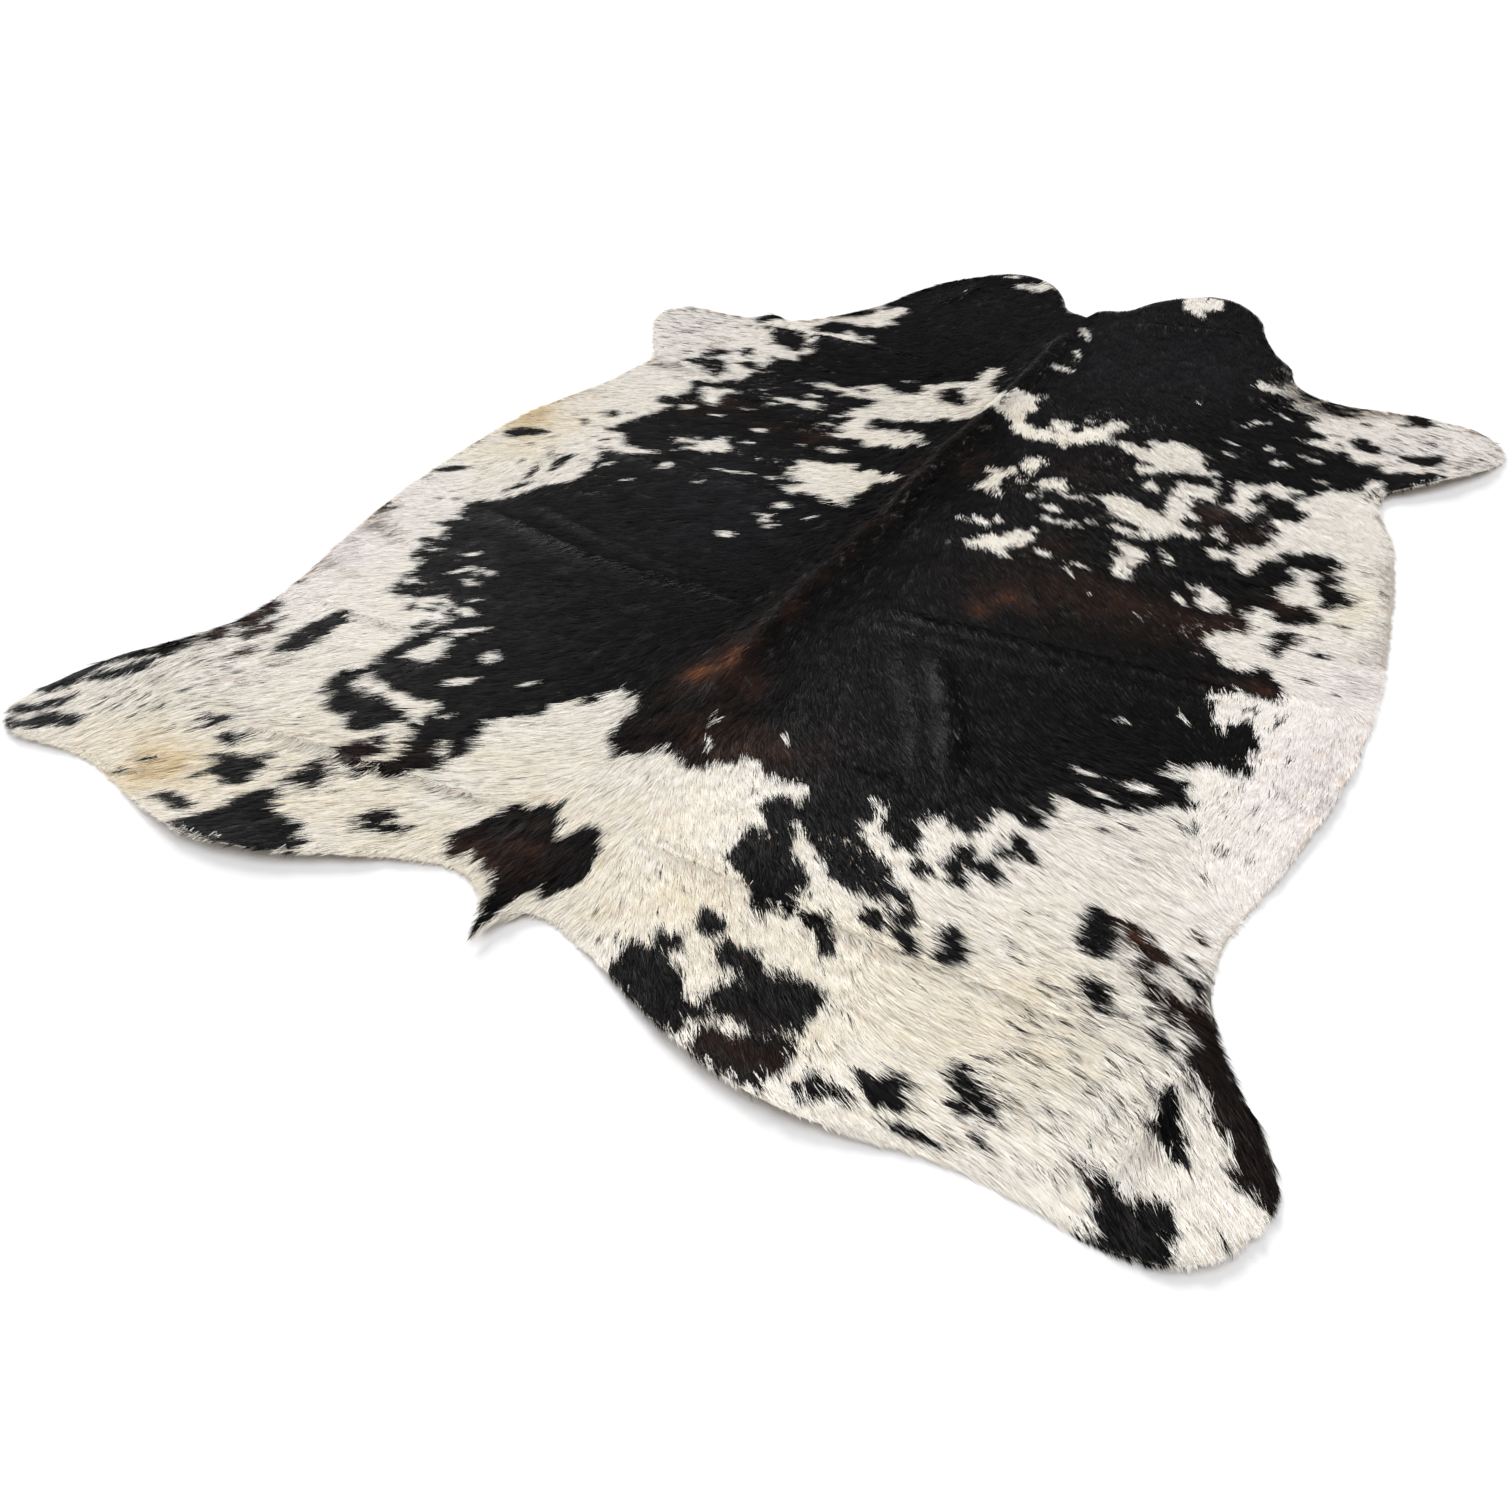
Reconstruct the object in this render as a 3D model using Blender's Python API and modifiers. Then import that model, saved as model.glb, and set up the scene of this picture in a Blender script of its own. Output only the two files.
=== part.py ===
"""Cowhide rug: one whole tanned hide with its hair on, trimmed to the outline of the animal
and lying hair side up on a floor. Metres, +Z up, neck towards +Y, the animal's right at +X.

The hide is a single sheet. Its edge is a smooth curve through paired landmarks, its face
carries the creases of shipping and the soft swells of a rim that does not lie quite flat.
"""

import math

import bmesh
import bpy
from mathutils import Vector

LEATHER = 0.0025
PILE = 0.0020
THICKNESS = LEATHER + PILE

GRID = 0.050
EDGE_STEPS = 3
SHORTEST_EDGE = 0.002
SAME_POINT = 0.0001
ON_THE_CUT = 0.00001
SLIVER = 0.0005
CREASE_STEP = 0.025
CREASE_ENDS = 0.12

HAIR_COLOUR = (0.60, 0.55, 0.49)
HAIR_ROUGHNESS = 0.55

CM = 0.01

NECK_NOTCH = (-4.8, 92.2)
TAIL_TIP = (-2.9, -111.4)

# The edge from the neck notch down to the tail tip, both sides in one row, in centimetres.
# name, left across, left along, right across, right along
EDGE_PAIRS = (
    ("lobe foot", -9.1, 93.6, -3.1, 96.9),
    ("lobe inner side", -12.3, 99.0, 0.9, 98.9),
    ("lobe inner shoulder", -16.6, 104.2, 4.6, 106.0),
    ("lobe crown, inner end", -20.8, 105.8, 9.8, 111.6),
    ("lobe crown", -25.8, 105.3, 17.2, 113.9),
    ("lobe outer shoulder", -30.7, 102.4, 25.1, 109.3),
    ("lobe outer side", -36.8, 94.9, 29.2, 100.2),
    ("cheek", -40.8, 85.4, 33.2, 93.0),
    ("jaw", -42.6, 79.0, 37.7, 87.5),
    ("throat", -48.8, 68.2, 39.1, 83.1),
    ("shoulder hollow", -55.3, 61.5, 43.0, 78.9),
    ("shoulder tuft", -60.3, 62.4, 50.5, 77.1),
    ("shoulder point", -62.5, 59.1, 57.5, 78.5),
    ("fore leg, front", -70.0, 58.0, 69.5, 78.9),
    ("fore leg, front corner", -76.0, 57.8, 74.5, 76.9),
    ("fore leg tip", -80.2, 52.4, 78.2, 71.8),
    ("fore leg, rear corner", -78.3, 46.3, 77.6, 64.6),
    ("fore leg, rear", -75.1, 41.0, 72.9, 55.8),
    ("elbow", -72.1, 36.3, 67.6, 48.9),
    ("armpit", -70.3, 32.3, 63.6, 44.6),
    ("behind the armpit", -70.8, 27.7, 64.5, 39.0),
    ("upper ribs", -71.5, 21.3, 67.4, 33.0),
    ("ribs", -75.0, 7.4, 70.0, 24.0),
    ("chest", -77.8, -9.7, 73.1, 7.0),
    ("upper belly", -78.4, -25.2, 75.5, -10.0),
    ("belly", -77.2, -41.2, 76.4, -27.0),
    ("lower belly", -73.8, -62.2, 74.8, -48.0),
    ("flank", -73.3, -71.6, 72.3, -62.3),
    ("stifle", -75.9, -79.2, 71.2, -70.5),
    ("thigh", -79.0, -84.4, 73.2, -80.5),
    ("hind leg, front", -82.0, -89.3, 77.8, -88.1),
    ("hind leg, front corner", -84.8, -98.2, 83.0, -94.4),
    ("hind leg tip", -85.4, -104.6, 85.5, -100.5),
    ("hind leg, rear corner", -81.3, -109.3, 84.7, -107.0),
    ("hind leg, rear", -74.7, -109.0, 80.6, -112.7),
    ("hock", -68.2, -108.3, 74.6, -114.2),
    ("above the hock", -60.0, -110.2, 65.1, -113.0),
    ("buttock, outer end", -51.4, -112.9, 55.2, -112.6),
    ("buttock", -45.2, -114.0, 46.4, -114.4),
    ("buttock, inner end", -36.0, -112.6, 38.0, -115.4),
    ("rump, outer end", -27.0, -108.4, 29.6, -114.2),
    ("rump", -17.4, -103.2, 21.0, -111.3),
    ("tail root, outer end", -12.6, -101.9, 9.0, -105.8),
    ("tail root", -7.3, -103.9, 0.2, -103.9),
    ("tail", -4.4, -107.9, -2.2, -107.0),
)

# Creases, each a raised line from end to end through its middle, in centimetres.
# name, start, middle, end, half width, height
CREASES = (
    ("spine, neck", (-4.2, 88.0), (-4.0, 60.0), (-4.0, 30.0), 5.0, 0.9),
    ("spine, loin", (-4.0, 42.0), (-4.5, 0.0), (-5.5, -62.0), 5.0, 0.8),
    ("neck fold", (-1.0, 91.3), (14.0, 95.0), (30.0, 99.5), 3.0, 0.6),
    ("left lobe fold", (-31.5, 101.0), (-29.8, 89.5), (-38.0, 78.5), 3.0, 0.5),
    ("left shoulder fold", (-70.0, 52.0), (-50.0, 56.0), (-20.0, 57.5), 3.0, 0.6),
    ("left chest fold", (-62.0, -4.0), (-40.0, -2.5), (-14.0, -3.0), 3.0, 0.5),
    ("left belly fold", (-66.0, -30.0), (-40.0, -34.2), (-8.0, -34.8), 3.0, 0.5),
    ("left flank fold", (-72.5, -64.5), (-60.0, -65.6), (-44.0, -64.5), 2.5, 0.5),
    ("left rump fold", (-72.0, -94.6), (-45.0, -91.5), (-8.0, -88.7), 3.0, 0.7),
    ("left hock fold", (-69.7, -92.0), (-69.7, -100.0), (-68.0, -107.5), 2.5, 0.5),
    ("right chest fold", (22.0, 5.0), (41.0, 7.0), (62.0, 10.0), 3.0, 0.5),
    ("right belly fold", (4.0, -27.4), (30.0, -25.0), (66.0, -21.5), 3.0, 0.7),
    ("right soft fold", (15.0, -29.0), (24.0, -43.0), (32.0, -60.0), 4.0, 0.6),
    ("right rump fold", (-2.0, -87.7), (34.0, -89.4), (71.0, -90.0), 3.0, 0.7),
    ("right hock fold", (74.5, -86.0), (72.3, -95.0), (71.4, -112.0), 2.5, 0.6),
)

# Swells where the rim curls up or the hide does not reach the floor, in centimetres.
# name, across, along, half length, half width, turn in degrees, height
SWELLS = (
    ("left buttock", -37.0, -112.5, 38.0, 13.0, 13.0, 1.7),
    ("left hind leg", -78.0, -110.5, 17.0, 8.0, -8.0, 0.7),
    ("tail", -3.8, -108.5, 12.0, 9.0, 90.0, 1.2),
    ("right buttock", 30.0, -115.0, 38.0, 13.0, -10.0, 1.6),
    ("right hind leg", 82.0, -112.0, 16.0, 10.0, 55.0, 0.8),
    ("right fore leg", 71.5, 53.0, 24.0, 12.0, 52.0, 1.8),
    ("right flank", 76.5, -50.0, 36.0, 7.0, 93.0, 0.7),
    ("left neck lobe", -26.0, 109.0, 20.0, 9.0, 0.0, 0.7),
    ("right neck lobe", 18.0, 117.0, 18.0, 9.0, 0.0, 0.7),
    ("left ribs", -77.5, 2.0, 26.0, 7.0, 82.0, 0.6),
)


def clear_scene():
    for old in list(bpy.data.objects):
        bpy.data.objects.remove(old, do_unlink=True)


def edge_points():
    """The landmarks once round the hide, down its left side and up its right."""
    left = [(row[1], row[2]) for row in EDGE_PAIRS]
    right = [(row[3], row[4]) for row in reversed(EDGE_PAIRS)]
    return [NECK_NOTCH, *left, TAIL_TIP, *right]


def edge_curve():
    """A closed curve, smooth at every landmark but pointed at the neck notch and the tail tip."""
    points = edge_points()
    curve = bpy.data.curves.new("hide edge", "CURVE")
    curve.dimensions = "2D"
    curve.fill_mode = "NONE"
    curve.resolution_u = EDGE_STEPS
    spline = curve.splines.new("BEZIER")
    spline.use_cyclic_u = True
    spline.bezier_points.add(len(points) - 1)
    for bezier, point in zip(spline.bezier_points, points):
        pointed = point in (NECK_NOTCH, TAIL_TIP)
        bezier.co = (point[0] * CM, point[1] * CM, 0.0)
        bezier.handle_left_type = "VECTOR" if pointed else "AUTO"
        bezier.handle_right_type = "VECTOR" if pointed else "AUTO"
    return bpy.data.objects.new("hide edge", curve)


def flat_blank():
    """The hide as it is cut out: one flat face inside the edge curve."""
    guide = edge_curve()
    bpy.context.scene.collection.objects.link(guide)
    bpy.context.view_layer.update()
    outline = bpy.data.meshes.new_from_object(guide.evaluated_get(bpy.context.evaluated_depsgraph_get()))
    bpy.data.objects.remove(guide, do_unlink=True)
    blank = bmesh.new()
    blank.from_mesh(outline)
    bpy.data.meshes.remove(outline)
    bmesh.ops.remove_doubles(blank, verts=blank.verts, dist=SAME_POINT)
    bmesh.ops.edgeloop_fill(blank, edges=blank.edges)
    return blank


def cut(blank, through, across, faces):
    """Cuts these faces of the blank along the line through a point, square to a direction."""
    edges = {edge for face in faces for edge in face.edges}
    verts = {vert for face in faces for vert in face.verts}
    bmesh.ops.bisect_plane(
        blank,
        geom=list(verts) + list(edges) + list(faces),
        dist=ON_THE_CUT,
        plane_co=through,
        plane_no=across,
    )


def cut_grid(blank):
    """Square cells all over, for the sheet to bend in."""
    reach = max(max(abs(vert.co.x), abs(vert.co.y)) for vert in blank.verts)
    lines = math.ceil(reach / GRID)
    for index in range(-lines, lines + 1):
        for across in (Vector((1, 0, 0)), Vector((0, 1, 0))):
            cut(blank, across * (index * GRID), across, blank.faces[:])


def crease_runs(crease):
    """A crease's two straight runs, as (start, end) in metres."""
    start, middle, end = (Vector((*point, 0.0)) * CM for point in crease[1:4])
    return ((start, middle), (middle, end))


def from_run(point, start, end):
    """How far a point lies from a straight run, and how far along the run its foot is."""
    run = end - start
    along = max(0.0, min(run.length, (point - start).dot(run.normalized())))
    return (point - start - run.normalized() * along).length, along


def cut_creases(blank):
    """Lines along each crease's crest, its slopes and its feet, near that crease only."""
    for crease in CREASES:
        half_width = crease[4] * CM
        steps = round(half_width / CREASE_STEP)
        for start, end in crease_runs(crease):
            across = (end - start).normalized().cross(Vector((0, 0, 1)))
            for index in range(-steps, steps + 1):
                near = [
                    face
                    for face in blank.faces
                    if from_run(face.calc_center_median(), start, end)[0] < half_width + GRID / 2
                ]
                cut(blank, start + across * (half_width * index / steps), across, near)


def soft(share):
    """1 at 0 and 0 from 1 on, level at both."""
    return math.cos(min(1.0, abs(share)) * math.pi / 2) ** 2


def crease_height(point, crease):
    half_width, height = crease[4] * CM, crease[5] * CM
    runs = crease_runs(crease)
    whole = sum((end - start).length for start, end in runs)
    passed = 0.0
    tallest = 0.0
    for start, end in runs:
        distance, along = from_run(point, start, end)
        to_end = min(passed + along, whole - passed - along)
        fade = 1.0 - soft(to_end / CREASE_ENDS)
        tallest = max(tallest, height * soft(distance / half_width) * fade)
        passed += (end - start).length
    return tallest


def swell_height(point, swell):
    _, across, along, half_length, half_width, turn, height = swell
    offset = point - Vector((across, along, 0.0)) * CM
    lengthwise = Vector((math.cos(math.radians(turn)), math.sin(math.radians(turn)), 0.0))
    sideways = Vector((-lengthwise.y, lengthwise.x, 0.0))
    share = math.hypot(offset.dot(lengthwise) / half_length, offset.dot(sideways) / half_width) / CM
    return height * CM * soft(share)


def lift(point):
    """How high the underside stands over the floor at a point of the blank."""
    creases = max(crease_height(point, crease) for crease in CREASES)
    return creases + sum(swell_height(point, swell) for swell in SWELLS)


def middle(verts):
    """The middle of these points' box on the floor."""
    across = [vert.co.x for vert in verts]
    along = [vert.co.y for vert in verts]
    return Vector((min(across) + max(across), min(along) + max(along), 0.0)) / 2


def lay_down(blank):
    """Triangles all over, the slivers closed up, every point at its height, the origin amidships."""
    bmesh.ops.remove_doubles(blank, verts=blank.verts, dist=SHORTEST_EDGE)
    bmesh.ops.triangulate(blank, faces=blank.faces)
    bmesh.ops.dissolve_degenerate(blank, dist=SLIVER, edges=blank.edges)
    bmesh.ops.triangulate(blank, faces=blank.faces)
    for vert in blank.verts:
        vert.co.z = lift(Vector((vert.co.x, vert.co.y, 0.0)))
    bmesh.ops.translate(blank, verts=blank.verts, vec=-middle(blank.verts))
    bmesh.ops.recalc_face_normals(blank, faces=blank.faces)
    if sum(face.normal.z for face in blank.faces) < 0:
        bmesh.ops.reverse_faces(blank, faces=blank.faces)


def hair_on_leather():
    material = bpy.data.materials.new("hair-on leather")
    material.use_nodes = True
    shader = material.node_tree.nodes["Principled BSDF"]
    shader.inputs["Base Color"].default_value = (*HAIR_COLOUR, 1.0)
    shader.inputs["Roughness"].default_value = HAIR_ROUGHNESS
    shader.inputs["Metallic"].default_value = 0.0
    return material


def hide(collection):
    """The hide itself: the laid blank is its underside, and the thickness stands on it."""
    blank = flat_blank()
    cut_grid(blank)
    cut_creases(blank)
    lay_down(blank)
    mesh = bpy.data.meshes.new("hide")
    blank.to_mesh(mesh)
    blank.free()
    mesh.shade_smooth()
    mesh.materials.append(hair_on_leather())
    rug = bpy.data.objects.new("hide", mesh)
    collection.objects.link(rug)
    body = rug.modifiers.new("thickness", "SOLIDIFY")
    body.thickness = THICKNESS
    body.offset = 1.0
    return rug


def build():
    clear_scene()
    collection = bpy.data.collections.new("cowhide rug")
    bpy.context.scene.collection.children.link(collection)
    hide(collection)


build()
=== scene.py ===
import math

import bmesh
import bpy
import numpy as np
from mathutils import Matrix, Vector
from mathutils.bvhtree import BVHTree


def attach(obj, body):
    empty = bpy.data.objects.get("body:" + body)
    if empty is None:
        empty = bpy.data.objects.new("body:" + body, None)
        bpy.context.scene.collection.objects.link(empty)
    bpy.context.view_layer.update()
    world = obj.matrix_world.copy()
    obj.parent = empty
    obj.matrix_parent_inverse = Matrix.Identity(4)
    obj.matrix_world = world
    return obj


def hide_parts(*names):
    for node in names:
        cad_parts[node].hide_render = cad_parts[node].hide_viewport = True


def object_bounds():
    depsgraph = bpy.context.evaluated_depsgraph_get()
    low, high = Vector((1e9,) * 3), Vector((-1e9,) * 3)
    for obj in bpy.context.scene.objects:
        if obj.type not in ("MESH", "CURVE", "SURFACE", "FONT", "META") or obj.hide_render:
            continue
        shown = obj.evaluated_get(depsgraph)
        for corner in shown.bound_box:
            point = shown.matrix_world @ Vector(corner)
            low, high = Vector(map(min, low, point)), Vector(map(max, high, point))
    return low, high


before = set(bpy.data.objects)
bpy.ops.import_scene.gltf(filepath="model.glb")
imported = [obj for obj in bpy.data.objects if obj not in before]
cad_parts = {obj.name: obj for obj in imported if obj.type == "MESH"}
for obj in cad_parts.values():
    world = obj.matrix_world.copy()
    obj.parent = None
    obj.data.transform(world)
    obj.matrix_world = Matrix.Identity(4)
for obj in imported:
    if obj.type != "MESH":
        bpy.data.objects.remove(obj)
cad_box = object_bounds()


# The skin: one whole side-to-side cowhide, chrome tanned with the hair left on, fleshed and
# buffed to suede underneath and trimmed with a knife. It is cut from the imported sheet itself:
# the leather is that sheet without the depth that the hair takes.
PILE = 0.0020
CUTS = 3
SMOOTHINGS = 8
SMOOTHING = 0.5
SAME_POINT = 0.00001
ON_THE_CUT = 0.00002

# How far upward a face or a corner has to look to count as the hair side, or as level.
UPWARD = 0.5
LEVEL = 0.9

SKIN_UNDER_WHITE_HAIR = "#e2d3c6"
SKIN_UNDER_DARK_HAIR = "#1c1817"
SUEDE = "#cdbfae"
SUEDE_SHADE = "#b3a28e"
CUT_LEATHER = "#e9e1d4"
SUEDE_NAP = 0.0016
SUEDE_CLOUD = 0.045
SUEDE_DEPTH = 0.0006

# The sharp crests of the folds, in centimetres from a point on the spine: across is towards the
# animal's right and along is towards its neck.
CM = 0.01
CHART_ZERO = (0.0, 0.75)
CRESTS = (
    # name, start, middle, end, half width, height
    ("left rump", (-57.0, -93.5), (-41.0, -92.4), (-12.0, -90.2), 1.0, 0.50),
    ("left hind leg", (-80.0, -92.5), (-76.0, -92.0), (-70.0, -92.5), 1.2, 0.30),
    ("left flank", (-71.0, -64.5), (-60.0, -65.6), (-46.0, -64.5), 1.0, 0.25),
    ("left belly", (-66.0, -30.0), (-40.0, -34.2), (-8.0, -34.8), 1.5, 0.17),
    ("left loin", (-60.0, -24.0), (-40.0, -28.5), (-14.0, -31.5), 1.5, 0.13),
    ("left chest", (-60.0, -4.0), (-40.0, -2.5), (-14.0, -3.0), 1.5, 0.15),
    ("left shoulder", (-66.0, 53.0), (-50.0, 56.0), (-20.0, 57.5), 1.2, 0.30),
    ("left lobe", (-31.5, 101.0), (-29.8, 89.5), (-36.0, 80.0), 1.4, 0.35),
    ("right lobe", (-1.0, 91.3), (14.0, 95.0), (30.0, 99.5), 1.2, 0.40),
    ("right chest, upper", (20.0, 7.5), (41.0, 10.0), (60.0, 13.5), 1.0, 0.25),
    ("right chest, lower", (22.0, 4.0), (41.0, 6.0), (61.0, 9.0), 1.2, 0.30),
    ("right belly", (4.0, -26.0), (30.0, -23.6), (66.0, -20.2), 1.6, 0.35),
    ("right belly, lower", (4.0, -29.6), (30.0, -27.2), (66.0, -23.8), 1.8, 0.32),
    ("right soft fold", (11.8, -30.8), (20.8, -44.8), (28.8, -61.8), 2.6, 0.30),
    ("right soft fold, outer", (16.0, -28.6), (25.0, -42.6), (33.0, -59.6), 2.4, 0.65),
    ("right rump", (0.0, -87.7), (34.0, -89.4), (68.0, -90.0), 1.0, 0.35),
    ("right hock", (74.5, -86.0), (72.3, -95.0), (71.4, -112.0), 1.4, 0.65),
    ("right hock pinch", (71.0, -89.5), (74.0, -87.0), (77.5, -84.5), 1.2, 0.55),
    ("spine, withers", (-4.5, 84.0), (-3.6, 60.0), (-4.2, 34.0), 2.4, 0.75),
    ("spine, ribs", (-3.5, 47.0), (-5.0, 24.0), (-3.8, -6.0), 2.6, 0.80),
    ("spine, loin", (-4.2, 2.0), (-5.6, -24.0), (-4.6, -52.0), 2.6, 0.40),
)
CREST_LINES = 2
CREST_MARGIN = 1.5
CREST_ENDS = 10.0


def linear(colour):
    """An sRGB hex colour as the linear one that a shader takes."""
    parts = [int(colour[place : place + 2], 16) / 255 for place in (1, 3, 5)]
    return (*(part / 12.92 if part <= 0.04045 else ((part + 0.055) / 1.055) ** 2.4 for part in parts), 1.0)


def new_material(name):
    """A material and its shader."""
    material = bpy.data.materials.new(name)
    material.use_nodes = True
    return material, material.node_tree.nodes["Principled BSDF"]


def add_node(material, kind, settings=(), inputs=()):
    """A node with its settings, and its inputs as values or as the sockets linked to them."""
    node = material.node_tree.nodes.new(kind)
    for name, value in dict(settings).items():
        setattr(node, name, value)
    for name, value in dict(inputs).items():
        if isinstance(value, bpy.types.NodeSocket):
            material.node_tree.links.new(value, node.inputs[name])
        else:
            node.inputs[name].default_value = value
    return node


def from_run(places, start, end):
    """How far places lie from a straight run, and how far along it the foot of each is."""
    run = end - start
    along = np.clip((places - start) @ run / np.linalg.norm(run), 0, np.linalg.norm(run))
    return np.linalg.norm(places - start - np.outer(along, run) / np.linalg.norm(run), axis=1), along


def soft(share):
    """1 at 0 and 0 from 1 on, level at both."""
    return np.cos(np.minimum(1, np.abs(share)) * np.pi / 2) ** 2


def crest_runs(crest):
    """The two straight runs of a crest."""
    start, middle, end = (np.array(point) for point in crest[1:4])
    return (start, middle), (middle, end)


def crest_height(places):
    """How high the crests stand at places of the chart, in centimetres."""
    tallest = np.zeros(len(places))
    for crest in CRESTS:
        half_width, height = crest[4:]
        whole = sum(np.linalg.norm(end - start) for start, end in crest_runs(crest))
        passed = 0.0
        for start, end in crest_runs(crest):
            distance, along = from_run(places, start, end)
            to_end = np.minimum(passed + along, whole - passed - along)
            raised = height * soft(distance / half_width) * (1 - soft(to_end / CREST_ENDS))
            tallest = np.maximum(tallest, raised)
            passed += np.linalg.norm(end - start)
    return tallest


def cut_crests(sheet):
    """Cuts the sheet along each crest's top, its slopes and its feet, near that crest only."""
    for crest in CRESTS:
        half_width = crest[4]
        centres = np.array([face.calc_center_median().xy for face in sheet.faces]) / CM - CHART_ZERO
        away = np.min([from_run(centres, start, end)[0] for start, end in crest_runs(crest)], axis=0)
        faces = [face for face, is_near in zip(sheet.faces, away < half_width + CREST_MARGIN) if is_near]
        geometry = list({part for face in faces for part in (face, *face.edges, *face.verts)})
        for start, end in crest_runs(crest):
            run = Vector((*(end - start), 0)).normalized()
            across = run.cross(Vector((0, 0, 1)))
            foot = Vector((*(start + CHART_ZERO), 0))
            for line in range(-CREST_LINES, CREST_LINES + 1):
                through = (foot + across * (half_width * line / CREST_LINES)) * CM
                geometry = bmesh.ops.bisect_plane(
                    sheet, geom=geometry, dist=ON_THE_CUT, plane_co=through, plane_no=across
                )["geom"]


def skin_sheet():
    """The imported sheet's mesh, merged, thinned by the hair's depth, cut finer, smoothed and creased."""
    sheet = bmesh.new()
    sheet.from_mesh(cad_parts["hide"].data)
    bmesh.ops.remove_doubles(sheet, verts=sheet.verts, dist=SAME_POINT)
    hair_side = {vert for face in sheet.faces if face.normal.z > UPWARD for vert in face.verts}
    bmesh.ops.translate(sheet, verts=list(hair_side), vec=(0, 0, -PILE))
    bmesh.ops.subdivide_edges(sheet, edges=sheet.edges, cuts=CUTS, use_grid_fill=True)
    bmesh.ops.triangulate(sheet, faces=sheet.faces)
    flat = [vert for vert in sheet.verts if abs(vert.normal.z) > LEVEL]
    for _ in range(SMOOTHINGS):
        bmesh.ops.smooth_vert(sheet, verts=flat, factor=SMOOTHING, use_axis_z=True)
    cut_crests(sheet)
    raised = crest_height(np.array([vert.co.xy for vert in sheet.verts]) / CM - CHART_ZERO) * CM
    for vert, height in zip(sheet.verts, raised.tolist()):
        vert.co.z += height
    bmesh.ops.triangulate(sheet, faces=sheet.faces)
    mesh = bpy.data.meshes.new("skin")
    sheet.to_mesh(mesh)
    sheet.free()
    mesh.shade_smooth()
    return mesh


skin = bpy.data.objects.new("skin", skin_sheet())
bpy.context.scene.collection.objects.link(skin)


def read(mesh_list, name, width):
    """One property of all the parts of a mesh, a row for each."""
    values = np.empty(len(mesh_list) * width, np.float32)
    mesh_list.foreach_get(name, values)
    return values.reshape(-1, width)


skin_points = read(skin.data.vertices, "co", 3)
skin_normals = read(skin.data.vertices, "normal", 3)
skin_faces = read(skin.data.loop_triangles, "vertices", 3).astype(int)


# The markings: the colour lies in the hair and in the skin under it, so it is charted once, on
# a fine sheet of cells, and both take it from there. Across is towards the animal's right and
# along is towards its neck, in centimetres from a point on the spine.
CELL = 0.2
CHART_MARGIN = 3.0
BORDER_REACH = 3.0
FLECK_REACH = 1.0

# Tones of the coat, as places on one palette: from a grey, for stray grey hairs and for painted shade
# between locks, through white, cream and browns to black, and last a charcoal that is black with a painted
# sheen.
GREY_HAIR_AND_GAP_SHADE, PINK_WHITE, WHITE, CREAM, TAN = 0.03, 0.12, 0.25, 0.38, 0.50
BROWN, DARK_BROWN, BROWN_BLACK, BLACK, SHEEN_CHARCOAL = 0.62, 0.72, 0.80, 0.88, 0.97

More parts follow.
